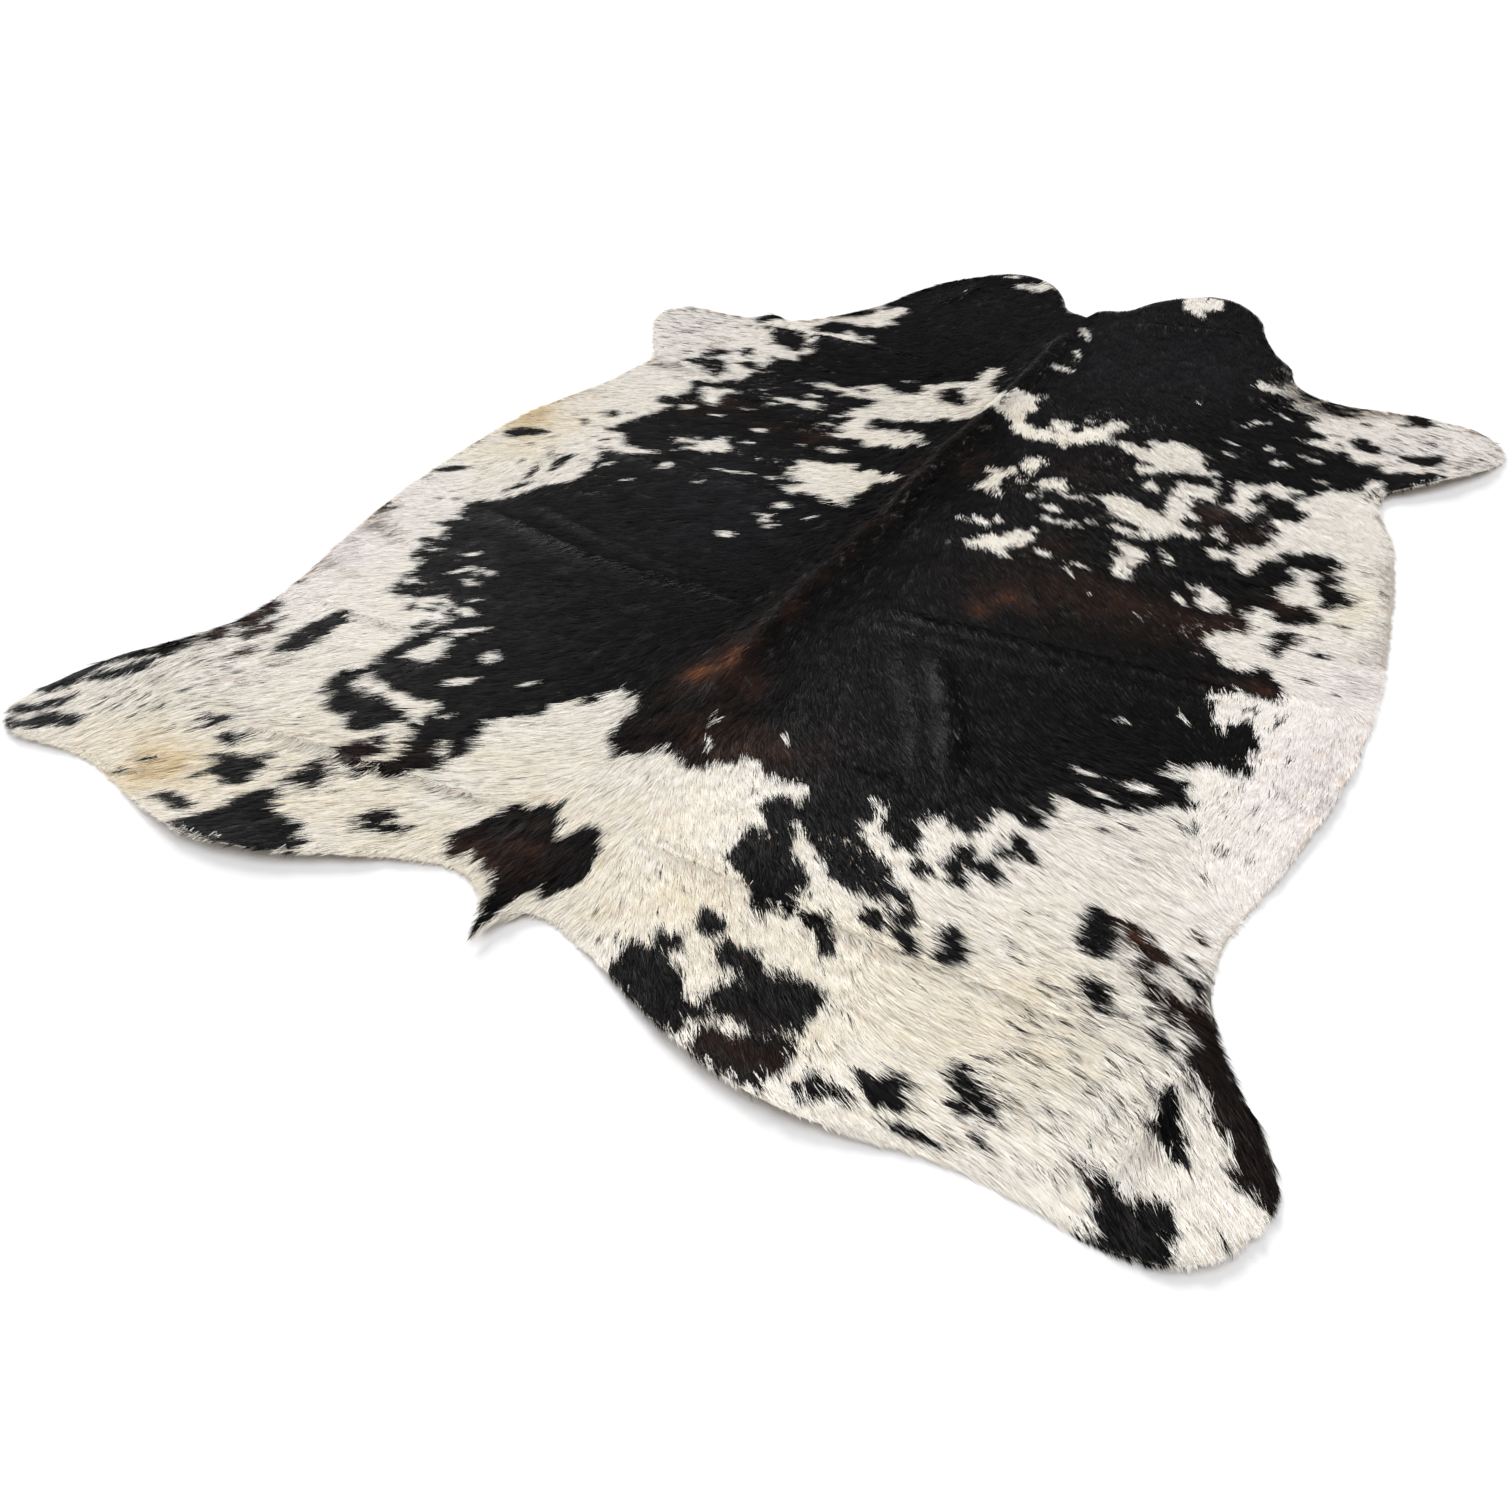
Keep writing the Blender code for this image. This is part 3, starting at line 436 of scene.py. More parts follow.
DARK_PATCHES = (
    ("left shoulder band, spot", (
        (-16.5, 46), (-15.5, 48), (-14, 48.5), (-12, 46.5), (-10.5, 45), (-10.5, 42.5), (-15, 41.5),
    )),
    ("left cheek", (
        (-50, 67.5), (-49, 69.5), (-47, 72), (-44, 74.5), (-43, 73), (-43, 71.5), (-46, 69),
        (-47.5, 68),
    )),
    ("left shoulder tuft", (
        (-60.5, 63), (-57.5, 61), (-59.5, 61), (-60, 57), (-61, 56), (-62.5, 58), (-61, 61),
    )),
    ("left shoulder block", (
        (-56, 55.5), (-52.5, 55.5), (-51.5, 54), (-51, 55.5), (-50, 55.5), (-47, 52), (-46.5, 50),
        (-47, 48.5), (-49.5, 48.5), (-51.5, 49.5), (-54.5, 49.5),
    )),
    ("left fore leg, upper", ((-58, 44.5), (-56, 45.5), (-55, 45), (-55, 43), (-56, 42), (-57.5, 43))),
    ("left fore leg, inner", (
        (-55, 38.5), (-54, 40), (-52.5, 40), (-50, 38.5), (-50, 37), (-54, 37.5),
    )),
    ("left fore leg, outer", (
        (-62.5, 40.5), (-62, 42.5), (-59, 42), (-59.5, 40.5), (-60.5, 38), (-62.5, 38), (-63, 39.5),
    )),
    ("left armpit", (
        (-65.5, 35), (-64, 36), (-63, 38), (-62, 37), (-59, 38), (-57, 37.5), (-55, 34), (-56, 32.5),
        (-55.5, 31), (-58.5, 32), (-60, 33.5), (-63.5, 34),
    )),
    ("left chest rim", (
        (-76, -7), (-75, -4.5), (-72, -3), (-70, -2.5), (-69.5, -3.5), (-73, -7), (-75, -8),
    )),
    ("left stifle streak", (
        (-64, -78), (-64.5, -75.5), (-64.5, -73.5), (-64, -70), (-62.5, -66.5), (-61, -65),
        (-59.5, -67), (-61, -70), (-60, -72.5), (-60, -74.5), (-61, -77), (-63, -78.5),
    )),
    ("left stifle rim, streak", (
        (-71, -78), (-70.5, -75.5), (-69.5, -73.5), (-68, -73.5), (-68.5, -76), (-69, -78),
    )),
    ("left hind leg, edge stripe", (
        (-87, -101.5), (-88.5, -94.5), (-87, -90), (-83, -85.5), (-79, -81.5), (-76, -82.5),
        (-75.5, -84.5), (-76.5, -86), (-76.5, -88), (-79, -88.5), (-80.5, -90.5), (-82, -92.5),
        (-82, -95.5), (-82, -97.5), (-83, -99.5), (-83.5, -101.5), (-84.5, -102.5),
    )),
    ("left hind leg, inner", (
        (-81.5, -96.5), (-81.5, -94), (-79.5, -93), (-78.5, -90), (-77, -88), (-76.5, -91),
        (-77, -93.5), (-79, -95.5),
    )),
    ("left foot", (
        (-83.5, -108.5), (-81, -107.5), (-80, -105.5), (-78, -104), (-75.5, -103), (-74.5, -105),
        (-77, -107), (-79.5, -109), (-81.5, -110),
    )),
    ("left foot, upper streak", (
        (-85.5, -106.5), (-84, -105), (-82.5, -103.5), (-80.5, -101.5), (-79.5, -100.5),
        (-79.5, -102.5), (-81, -104.5), (-82, -106.5), (-84, -108),
    )),
    ("left rump, outer spot", (
        (-61, -95.5), (-60.5, -94), (-56.5, -93), (-57, -94.5), (-58.5, -96.5), (-59.5, -96.5),
    )),
    ("left rump, upper spot", (
        (-56.5, -97.5), (-56, -96), (-54.5, -95.5), (-52.5, -95.5), (-53.5, -97), (-53, -98.5),
        (-54.5, -98.5), (-55, -97.5),
    )),
    ("left rump, middle spot", (
        (-53, -105.5), (-53, -103), (-52.5, -101.5), (-54.5, -100.5), (-51.5, -98.5), (-49.5, -98.5),
        (-48.5, -97.5), (-46, -98.5), (-46.5, -100.5), (-45.5, -102.5), (-46.5, -104), (-49.5, -104.5),
        (-49.5, -103), (-52, -103.5), (-52, -105),
    )),
    ("left buttock", (
        (-47, -113.5), (-46, -111), (-44, -108.5), (-44.5, -106.5), (-44, -103.5), (-41.5, -101.5),
        (-39.5, -104), (-39, -105.5), (-35, -105.5), (-33.5, -106.5), (-30.5, -111), (-35, -113.5),
        (-39, -114.5), (-44, -114.5),
    )),
    ("left buttock, outer", (
        (-54.5, -111), (-54, -110), (-51.5, -108.5), (-48.5, -109.5), (-48, -111), (-50, -111.5),
        (-50.5, -110.5), (-53.5, -111),
    )),
    ("left rump, long spot", (
        (-42, -99.5), (-41.5, -97.5), (-42, -95.5), (-41, -94), (-39, -95), (-38, -97), (-37.5, -99),
        (-39.5, -100), (-41, -100),
    )),
    ("left rump, cup", (
        (-28, -102.5), (-29, -100), (-28, -98.5), (-26.5, -97.5), (-25, -98.5), (-26, -99.5),
        (-26, -101), (-24.5, -100.5), (-23.5, -99.5), (-21.5, -99), (-21.5, -100.5), (-23.5, -102),
        (-26, -102.5),
    )),
    ("left rump, band", (
        (-39, -94), (-40, -91), (-39, -89), (-37, -88.5), (-35, -88), (-34.5, -89.5), (-35, -91),
        (-36.5, -92), (-35.5, -93), (-34, -94.5), (-35.5, -95.5), (-37, -94),
    )),
    ("left rump, band, lower", (
        (-34.5, -92.5), (-33.5, -91), (-31.5, -90.5), (-32.5, -89), (-31.5, -87.5), (-30, -85),
        (-26.5, -87), (-26, -89.5), (-27.5, -90), (-29.5, -90.5), (-29.5, -92.5), (-31.5, -93),
        (-33, -93),
    )),
    ("left rump, bead", ((-38.5, -88), (-37.5, -86.5), (-36, -86.5), (-35.5, -87.5), (-37.5, -88.5))),
    ("tail root", (
        (-13.5, -89), (-11.5, -88.5), (-10, -87), (-8, -87), (-6, -91), (-5, -92.5), (-4, -91),
        (-3, -88), (-1.5, -88), (-0.5, -90), (1, -92.5), (2, -96), (2, -98.5), (0, -102),
        (-1.5, -100.5), (-2.5, -104), (-3, -112), (-6.5, -103.5), (-8.5, -101), (-12, -100),
        (-15.5, -101.5), (-16.5, -98), (-14, -91.5),
    )),
    ("right rump, bead", ((34, -84.5), (36, -84), (37, -85.5), (35, -88), (34, -87))),
    ("right rump, slip", (
        (37.5, -82.5), (39, -82.5), (40, -85), (42, -86.5), (42.5, -88.5), (41, -89.5), (38.5, -86.5),
    )),
    ("right rump, outer slip", (
        (43.5, -82.5), (44, -81.5), (46.5, -85), (47.5, -86.5), (47, -88), (45.5, -88.5), (44, -87.5),
    )),
    ("right flank, tongue", (
        (39, -68.5), (40.5, -68.5), (42, -73.5), (43, -75), (40, -76), (38.5, -73.5), (38.5, -71),
    )),
    ("right flank, spot", ((42, -70), (43.5, -69.5), (46, -72), (44.5, -73.5), (43, -72.5))),
    ("right flank, outer spot", (
        (43, -64.5), (45, -63.5), (46, -65), (48.5, -66.5), (48, -68), (46.5, -67), (45, -66),
    )),
    ("right rump, chevron", (
        (28, -90), (29, -88.5), (31, -88), (31.5, -90), (34.5, -93), (33, -94), (30.5, -91.5),
    )),
    ("right rump, inner spot", (
        (17, -95.5), (17.5, -94), (19, -93.5), (20.5, -94.5), (21, -96), (20.5, -97.5), (18.5, -97),
    )),
    ("right rump, middle spot", (
        (22, -99), (22, -97), (23.5, -96.5), (25, -97), (27, -97), (28, -99), (28, -100.5),
        (26.5, -100.5), (25, -101), (23.5, -101),
    )),
    ("right buttock", (
        (25, -105.5), (25, -103), (27, -101.5), (28.5, -101), (29, -99), (30.5, -98), (32, -99),
        (33, -98.5), (35, -98.5), (37, -99.5), (36, -102), (36, -105), (34.5, -105.5), (32.5, -107),
        (30.5, -108), (27.5, -107.5), (25.5, -106.5),
    )),
    ("right buttock rim, upper", (
        (13, -105), (13, -102.5), (15, -101), (14.5, -99.5), (17, -99), (18.5, -100.5), (17, -102),
        (19.5, -103.5), (22, -105), (21.5, -106.5), (23, -107.5), (26, -107.5), (26.5, -109),
        (24.5, -109.5), (24.5, -111), (26, -113), (22, -112.5), (17.5, -110.5), (14, -108.5),
    )),
    ("right buttock rim, lower", (
        (27, -110.5), (28, -109.5), (30.5, -110.5), (32, -108), (34, -107.5), (36, -106), (37, -108),
        (37, -110), (37.5, -112), (36, -113), (36.5, -115), (34, -115), (31, -115.5), (28, -114.5),
    )),
    ("right buttock rim, outer", (
        (39, -113), (40, -111.5), (40, -109.5), (41.5, -110), (42, -111), (42, -113), (40.5, -114),
    )),
    ("right thigh rim", (
        (44, -107), (47.5, -105), (49, -105), (50, -107), (51.5, -108), (49.5, -110), (47, -110),
        (45, -109),
    )),
    ("right thigh streak", (
        (52, -100), (54.5, -100.5), (57.5, -103), (59, -105), (59, -106), (54.5, -104.5), (53, -102.5),
    )),
    ("right stifle", (
        (56.5, -74.5), (56.5, -72.5), (57, -71), (58.5, -71), (60.5, -71), (59.5, -73.5), (61, -74.5),
        (61.5, -76.5), (60.5, -78.5), (58.5, -78.5), (57.5, -77),
    )),
    ("right thigh spot", (
        (59.5, -83), (60.5, -82), (62.5, -81.5), (63.5, -83), (63.5, -85), (63, -86), (62, -85.5),
        (60.5, -84),
    )),
    ("right stifle, spot at the edge", (
        (68.5, -73.5), (70, -73.5), (71, -74), (72.5, -76), (70.5, -75), (69, -74.5),
    )),
    ("right stifle, streak at the edge", (
        (69, -76.5), (70.5, -76.5), (72, -77.5), (73.5, -80), (71.5, -79), (70.5, -78),
    )),
    ("right hock, inner bead", ((67.5, -83.5), (68, -82.5), (68.5, -84), (69, -85), (68, -84.5))),
    ("right hock, upper streak", (
        (69, -86), (70, -86), (71.5, -87.5), (72, -88), (71.5, -89), (70.5, -88.5), (69.5, -87.5),
    )),
    ("right hock, inner streak", (
        (72, -99.5), (73, -97.5), (72, -96), (72.5, -94), (73.5, -94), (75, -96.5), (75.5, -98),
        (76.5, -99.5), (77.5, -101.5), (77.5, -102.5), (76.5, -102.5), (75, -101), (74, -100.5),
        (72.5, -100.5),
    )),
    ("right foot", (
        (68.5, -108), (70.5, -107), (72, -108), (73.5, -109), (75, -108.5), (76.5, -107.5),
        (78, -108.5), (79.5, -110), (79, -112), (80, -116), (70, -116), (72.5, -112.5), (71.5, -111.5),
        (71.5, -110), (70, -109.5),
    )),
    ("right fore leg, inner", (
        (49, 80), (54.5, 80), (54.5, 77), (53, 75.5), (52.5, 73.5), (51, 73), (50, 74), (49.5, 76),
    )),
    ("right throat", ((42.5, 80.5), (45.5, 79.5), (45.5, 76.5), (43.5, 76), (42, 77))),
    ("right fore leg, neck spot", (
        (41.5, 78.5), (42.5, 80.5), (45.5, 79.5), (46, 76), (44, 74.5), (42.5, 75),
    )),
    ("right fore leg, middle", (
        (53.5, 63.5), (55, 63.5), (55.5, 65.5), (57.5, 65), (58, 63), (60, 63.5), (60, 60.5), (58, 60),
        (56.5, 60.5), (55, 61.5),
    )),
    ("right fore leg, outer", (
        (64, 61), (65, 62.5), (67, 63), (68.5, 65), (70, 63), (70, 59.5), (68, 58), (66.5, 59),
        (65, 59.5),
    )),
    ("right elbow", (
        (54.5, 19.5), (58.5, 21.5), (62.5, 22), (63.5, 20.5), (62, 17), (61, 16), (59, 15.5),
        (57, 16.5), (54.5, 17.5),
    )),
    ("right elbow, outer", (
        (61, 16), (62.5, 17.5), (64, 16), (64.5, 14), (63.5, 12.5), (65.5, 13.5), (67, 12.5), (67, 11),
        (66.5, 8.5), (65, 7), (63, 7), (62.5, 11), (61, 13),
    )),
    ("right chest rim", (
        (59.5, -2.5), (60, -3), (61.5, -1.5), (63, -2), (63, -4.5), (62, -8), (61, -9.5), (60, -8),
        (59.5, -5),
    )),
)

BROWN_PATCHES = (
    ("right fore leg, front", (
        (61, 77.5), (62.5, 80.5), (65, 80), (66.5, 76.5), (65.5, 75), (63, 74), (62, 75),
    )),
    ("right fore leg, root", (
        (46.5, 77), (48.5, 77.5), (51, 78), (55, 79), (54, 76), (53.5, 72.5), (51.5, 71.5), (49.5, 72),
        (47.5, 73.5),
    )),
    ("right stifle curl", (
        (61, -73), (62, -72), (63.5, -72), (65, -73.5), (67, -74), (68.5, -75), (68, -76), (66.5, -76),
        (66.5, -77), (66, -79), (67.5, -79.5), (68, -81.5), (67.5, -82), (66, -81), (65.5, -80),
        (64, -79.5), (64, -77.5), (64.5, -75.5), (63.5, -75.5), (62.5, -74),
    )),
    ("right stifle curl, lower", (
        (68.5, -82.5), (68.5, -81), (69, -80), (70.5, -80), (71.5, -81), (70.5, -82.5), (70.5, -84.5),
        (70, -84.5), (69, -83.5),
    )),
    ("right hind leg, edge stripe", (
        (71, -82.5), (72, -81), (73.5, -80), (80, -86), (86, -92), (90, -98), (90, -105),
        (85.5, -103.5), (83.5, -103), (82, -102), (81, -100.5), (80.5, -98), (79.5, -96.5), (78, -97),
        (78.5, -95.5), (76.5, -95.5), (77.5, -94), (75.5, -93.5), (76, -92), (73.5, -92), (74.5, -90.5),
        (73, -90.5), (72.5, -89.5), (73, -87.5), (73.5, -86), (72.5, -85), (72, -84),
    )),
    ("left stifle rim", (
        (-73.5, -76.5), (-74, -74), (-73.5, -71.5), (-74, -67.5), (-71.5, -68.5), (-71, -72.5),
        (-71, -75), (-71.5, -77),
    )),
    ("left stifle rim, lower", (
        (-75, -81), (-75.5, -78.5), (-75.5, -76.5), (-74, -77), (-72.5, -79), (-73.5, -80.5),
    )),
)

DARK_FLECKS_AND_FOLD_SHADE = (
    # across, along, length, width, turn in degrees
    (-29.4, 38.8, 2.4, 2.4, 0), (11.5, 43.5, 3.0, 2.4, 90), (-57.3, 54.8, 1.4, 1.4, 0),
    (-65.0, 31.8, 3.4, 1.2, -60), (-64.0, 8.5, 3.4, 2.8, 0), (-61.3, 10.7, 2.0, 1.0, 60),
    (-66.0, 3.3, 2.4, 1.0, -55), (-75.7, -22.0, 6.5, 1.9, 42), (-77.2, -39.0, 5.5, 1.0, -80),
    (-61.3, -10.0, 5.0, 1.8, 70), (-64.8, -9.8, 2.4, 0.6, -50), (-63.3, -16.5, 6.5, 1.1, -80),
    (-62.3, -21.8, 5.5, 1.0, 65), (-58.2, -9.0, 1.4, 0.8, 0), (-60.7, -14.0, 2.6, 0.9, 70),
    (-64.2, -13.3, 1.8, 0.5, 0), (-59.3, -0.3, 3.0, 0.6, 60), (-58.0, -3.6, 2.5, 1.0, 0),
    (-67.2, -14.4, 1.0, 1.0, 0), (-70.0, -8.8, 1.2, 0.8, 0), (-68.8, -30.0, 1.0, 1.0, 0),
    (-71.5, -31.5, 1.0, 0.7, 0), (-54.6, -59.5, 2.6, 2.0, 0), (-49.5, -62.3, 4.0, 1.4, 80),
    (-51.0, -57.0, 3.0, 1.0, 0), (-80.9, -102.5, 6.0, 1.1, 72), (-60.3, -105.0, 2.2, 1.2, 25),
    (-61.5, -108.8, 3.0, 1.0, 0), (36.5, -75.0, 3.4, 2.6, 0), (44.0, -67.8, 3.2, 2.4, -50),
    (44.0, -110.8, 4.0, 2.2, 0), (52.5, -111.5, 6.5, 1.8, 0), (55.5, -106.0, 2.6, 1.8, 0),
    (58.5, -109.0, 1.8, 1.2, 0), (83.5, -109.6, 1.5, 0.6, -45), (58.8, 78.3, 1.8, 2.0, 0),
    (47.5, 77.8, 3.0, 1.6, 0), (56.0, 70.7, 2.0, 1.8, 0), (61.2, 73.5, 2.0, 0.8, 0),
    (75.8, 65.8, 2.0, 1.0, 0), (74.4, 62.8, 1.4, 1.0, 0), (73.0, 59.7, 2.4, 1.4, 45),
    (70.8, 57.2, 1.2, 1.2, 0), (67.0, 69.0, 2.0, 2.0, 0), (53.7, 60.3, 2.0, 1.0, 0),
    (67.3, 19.8, 1.6, 0.8, 60), (71.0, 15.0, 1.6, 0.6, 60), (66.5, -5.9, 3.0, 1.4, 20),
    (66.3, -13.2, 1.8, 1.0, 40), (70.7, -14.5, 1.2, 0.8, 0), (67.6, 3.3, 2.0, 0.9, 20),
    (65.5, -24.5, 4.0, 0.8, 75), (61.3, -24.5, 2.0, 0.8, 0), (68.7, -33.0, 1.2, 0.5, 0),
    (67.7, -45.0, 2.0, 0.6, 80), (69.6, -48.0, 1.6, 0.4, 0), (61.8, -52.0, 2.6, 1.0, 55),
    (53.0, -57.4, 2.0, 1.0, 0), (55.5, -55.2, 2.0, 0.8, 0), (58.5, -61.0, 1.6, 0.6, 75),
    (66.3, -60.0, 1.6, 0.6, -60), (66.3, -54.5, 1.6, 0.5, 0), (-50.5, -63.5, 3.0, 1.2, 20),
    (-45.5, -61.0, 2.4, 1.0, 40), (-47.0, -58.3, 3.0, 1.0, 10), (-42.0, -63.6, 3.0, 1.2, 30),
    (-40.5, -61.8, 2.6, 1.0, 0), (-51.5, -58.6, 2.0, 1.0, 0), (-77.0, -40.0, 3.0, 1.0, 60),
    # The last three dashes, at the right armpit, are painted shade: the dark creases of its tucked fold,
    # drawn in the hair's colour.
    (-67.5, 4.0, 1.4, 0.8, 0), (-61.0, -12.0, 3.4, 1.6, 60), (62.6, 44.6, 5.5, 0.6, 75),
    (64.2, 42.4, 5.0, 0.5, 110), (59.5, 44.0, 4.5, 0.4, 35),
)

BROWN_FLECKS = (
    # across, along, length, width, turn in degrees
    (-73.0, -70.0, 3.5, 2.0, 90), (-73.2, -74.0, 4.0, 3.0, 90), (-74.5, -78.3, 3.2, 2.4, 0),
    (-69.3, -74.5, 4.0, 1.8, 80), (-68.3, -71.3, 2.0, 1.0, 0), (-71.2, -77.5, 2.5, 1.0, 75),
    (-67.5, -80.8, 2.6, 1.4, 75), (-73.3, -80.0, 1.6, 1.0, 0), (62.8, -73.0, 5.0, 2.0, -35),
    (69.2, -69.8, 2.4, 1.9, 0),
)

# Where sun and age have browned the black hair, and where a painted sheen lightens it to charcoal as it
# catches the light.
BROWNING_AND_SHEEN = (
    # across, along, half across, half along, tone, strength
    # The charcoal rows are painted sheen on the black hair.
    (-34, -8, 26, 28, SHEEN_CHARCOAL, 0.7), (-40, 28, 22, 16, SHEEN_CHARCOAL, 0.5), (18, 76, 26, 22, SHEEN_CHARCOAL, 0.6),
    (-24, 84, 20, 20, SHEEN_CHARCOAL, 0.4), (30, -9, 22, 11, DARK_BROWN, 0.55),
    (36, -7, 16, 6, DARK_BROWN, 0.6), (22, -14, 4, 3, BROWN, 0.55), (20, -19, 3, 2.5, BROWN, 0.6),
    (53, -5.5, 7, 6, DARK_BROWN, 0.75), (23, 5, 5, 4, DARK_BROWN, 0.6),
    (41, 25.5, 5, 6, DARK_BROWN, 0.7), (48, 21.5, 4, 4, DARK_BROWN, 0.7),
    (61.5, -18.5, 3, 2.5, DARK_BROWN, 0.8), (57.5, -20.5, 5, 3, DARK_BROWN, 0.6),
    (18, 29, 6, 6, DARK_BROWN, 0.5), (59, 4.5, 4, 3, DARK_BROWN, 0.8),
    (-0.5, -53, 4, 5, DARK_BROWN, 0.9), (-6.5, -42, 4, 12, DARK_BROWN, 0.7),
    (-8, -54, 3.5, 5, BROWN, 0.8), (-5.5, -49, 2, 4, BROWN, 0.6), (-4, -34, 2, 3, BROWN, 0.5),
    (-5, -22, 3, 8, DARK_BROWN, 0.6), (-5, -6, 3, 9, DARK_BROWN, 0.6), (-6, 8, 2, 5, BROWN, 0.5),
    (-7, 16.5, 3, 6, DARK_BROWN, 0.7), (0.5, 22.5, 3, 6, DARK_BROWN, 0.8),
    (-6, 31, 3, 6, DARK_BROWN, 0.6), (-22, -41, 10, 8, DARK_BROWN, 0.3),
    (-2, -67, 12, 8, DARK_BROWN, 0.85), (10, -63.5, 9, 5, DARK_BROWN, 0.6), (16, -56, 4, 3, BROWN, 0.2),
    (-52.5, 17, 6, 5, DARK_BROWN, 0.6), (-48, 23, 6, 3, DARK_BROWN, 0.75),
    (-36, 18, 10, 4, DARK_BROWN, 0.6), (-27, 19, 3, 3, BROWN, 0.5), (-16, 11.5, 5, 4, DARK_BROWN, 0.4),
    (-46.5, -21, 10, 9, DARK_BROWN, 0.3), (-36, -91.5, 6, 4, DARK_BROWN, 1),
    (-30, -87, 4, 3, DARK_BROWN, 0.6), (-8, -97, 8, 8, DARK_BROWN, 0.75), (-13, -100, 4, 3, BROWN, 0.4),
    (32, -111, 8, 6, DARK_BROWN, 0.7), (66, -76, 3, 3, DARK_BROWN, 0.6),
    (71, -82, 3, 3, DARK_BROWN, 0.4),
)

# Where the white hair is creamy, stained yellow or pinkish.
STAINED = (
    # across, along, half across, half along, tone, strength
    (0, -96, 62, 22, CREAM, 0.7), (0, 20, 30, 40, CREAM, 0.5), (-73, -7, 7, 18, TAN, 0.8),
    (-74.5, -2, 5, 8, TAN, 1.2), (52, -92, 14, 12, CREAM, 0.8), (-57, -106, 15, 7, TAN, 0.8),
    (69, 7, 5, 9, TAN, 0.7), (-75, -45, 8, 26, PINK_WHITE, 0.9), (-73, 45, 12, 18, PINK_WHITE, 0.6),
    (73, -30, 8, 40, PINK_WHITE, 0.9), (70, 66, 12, 14, PINK_WHITE, 0.5),
)

# Thin scatterings of short dark dashes in the white.
SPECKLED = (
    # across from, to, along from, to, dashes, turn in degrees
    (-80, -60, 37, 57, 240, 10), (60, 78, 56, 77, 200, -30), (-77, -60, -100, -74, 260, 80),
    (55, 71, -111, -84, 240, -45), (-72, -61, -33, 28, 40, 60), (50, 62, -84, -73, 25, -20),
    (62, 72, -64, 20, 40, -20), (-62, -20, -112, -88, 60, 35), (5, 52, -112, -84, 70, -45),
)
DASH_LENGTH = (0.5, 1.8)
DASH_WIDTH = 0.22
DASH_SWAY = 12
DASH_REACH = 0.3
SPECKLE_SEED = 5

low, high = (np.array(corner)[:2] / CM - CHART_ZERO for corner in cad_box)
chart_x = np.arange(low[0] - CHART_MARGIN, high[0] + CHART_MARGIN, CELL)
chart_y = np.arange(low[1] - CHART_MARGIN, high[1] + CHART_MARGIN, CELL)


def window(least, most):
    """The cells of the chart between two corners, as two slices."""
    rows = slice(*np.searchsorted(chart_y, (least[1], most[1])))
    columns = slice(*np.searchsorted(chart_x, (least[0], most[0])))
    return rows, columns


def depth_in(segments, reach):
    """How far each cell lies inside the outline that these segments make, negative outside."""
    least = segments.min(axis=(0, 1)) - reach
    most = segments.max(axis=(0, 1)) + reach
    cells = window(least, most)
    within = np.zeros((len(chart_y), len(chart_x)), bool)
    distance = np.full(within.shape, reach)
    for start, end in segments:
        run = end - start
        rows = window((least[0], min(start[1], end[1])), (most[0], max(start[1], end[1])))[0]
        if rows.start < rows.stop:
            crossing = start[0] + (chart_y[rows] - start[1]) * run[0] / run[1]
            within[rows] ^= chart_x[None, :] > crossing[:, None]
        near = window(np.minimum(start, end) - reach, np.maximum(start, end) + reach)
        x = chart_x[None, near[1]] - start[0]
        y = chart_y[near[0], None] - start[1]
        along = np.clip((x * run[0] + y * run[1]) / max(run @ run, 1e-9), 0, 1)
        away = np.hypot(x - along * run[0], y - along * run[1])
        distance[near] = np.minimum(distance[near], away)
    return cells, np.where(within, distance, -distance)[cells]


def outline(points):
    """A closed run of points as segments."""
    points = np.array(points, float)
    return np.stack([points, np.roll(points, -1, axis=0)], axis=1)


def depth_in_oval(across, along, length, width, turn, reach):
    """How far each cell lies inside an oval of this length and width, negative outside."""
    least = (across - length - reach, along - length - reach)
    most = (across + length + reach, along + length + reach)
    cells = window(least, most)
    x = chart_x[None, cells[1]] - across
    y = chart_y[cells[0], None] - along
    cosine, sine = math.cos(math.radians(turn)), math.sin(math.radians(turn))
    share = np.hypot((x * cosine + y * sine) / (length / 2), (y * cosine - x * sine) / (width / 2))
    return cells, (1 - share) * min(length, width) / 2


def cloud(size, seed):
    """A soft random field over the chart, about -1 to 1, with lumps of this size."""
    random = np.random.default_rng(seed)
    steps = [np.arange(len(axis)) * CELL / size for axis in (chart_y, chart_x)]
    knots = random.normal(0, 0.5, (int(steps[0][-1]) + 2, int(steps[1][-1]) + 2))
    (row, column), (down, right) = ([axis.astype(int) for axis in steps], [axis % 1 for axis in steps])
    down, right = ((axis * axis * (3 - 2 * axis)) for axis in (down[:, None], right[None, :]))
    top = knots[row][:, column] * (1 - right) + knots[row][:, column + 1] * right
    foot = knots[row + 1][:, column] * (1 - right) + knots[row + 1][:, column + 1] * right
    return top * (1 - down) + foot * down


# How far the borders wander, in centimetres: by tufts of hair and by single locks. Black hair
# lies a little over the white.
RAGGED = 0.55 * cloud(2.2, 1) + 0.45 * cloud(0.9, 2)
RAGGED_SADDLE = 1.0
RAGGED_PATCH = 0.7
RAGGED_FLECK = 0.15
DARK_SPREAD = 0.15

tone = np.full((len(chart_y), len(chart_x)), WHITE)
flecks = np.full(tone.shape, np.nan)


def paint(area, depth, colour, ragged):
    """Gives a colour to the cells inside a patch, its border shifted by the ragged field."""
    patch = depth + RAGGED[area] * ragged > 0
    tone[area] = np.where(patch, colour, tone[area])
    flecks[area] = np.where(patch, np.nan, flecks[area])


def fleck(area, depth, colour):
    """Gives a colour to the few cells inside a fleck, which keeps its place hair by hair."""
    flecks[area] = np.where(depth + RAGGED[area] * RAGGED_FLECK > 0, colour, flecks[area])


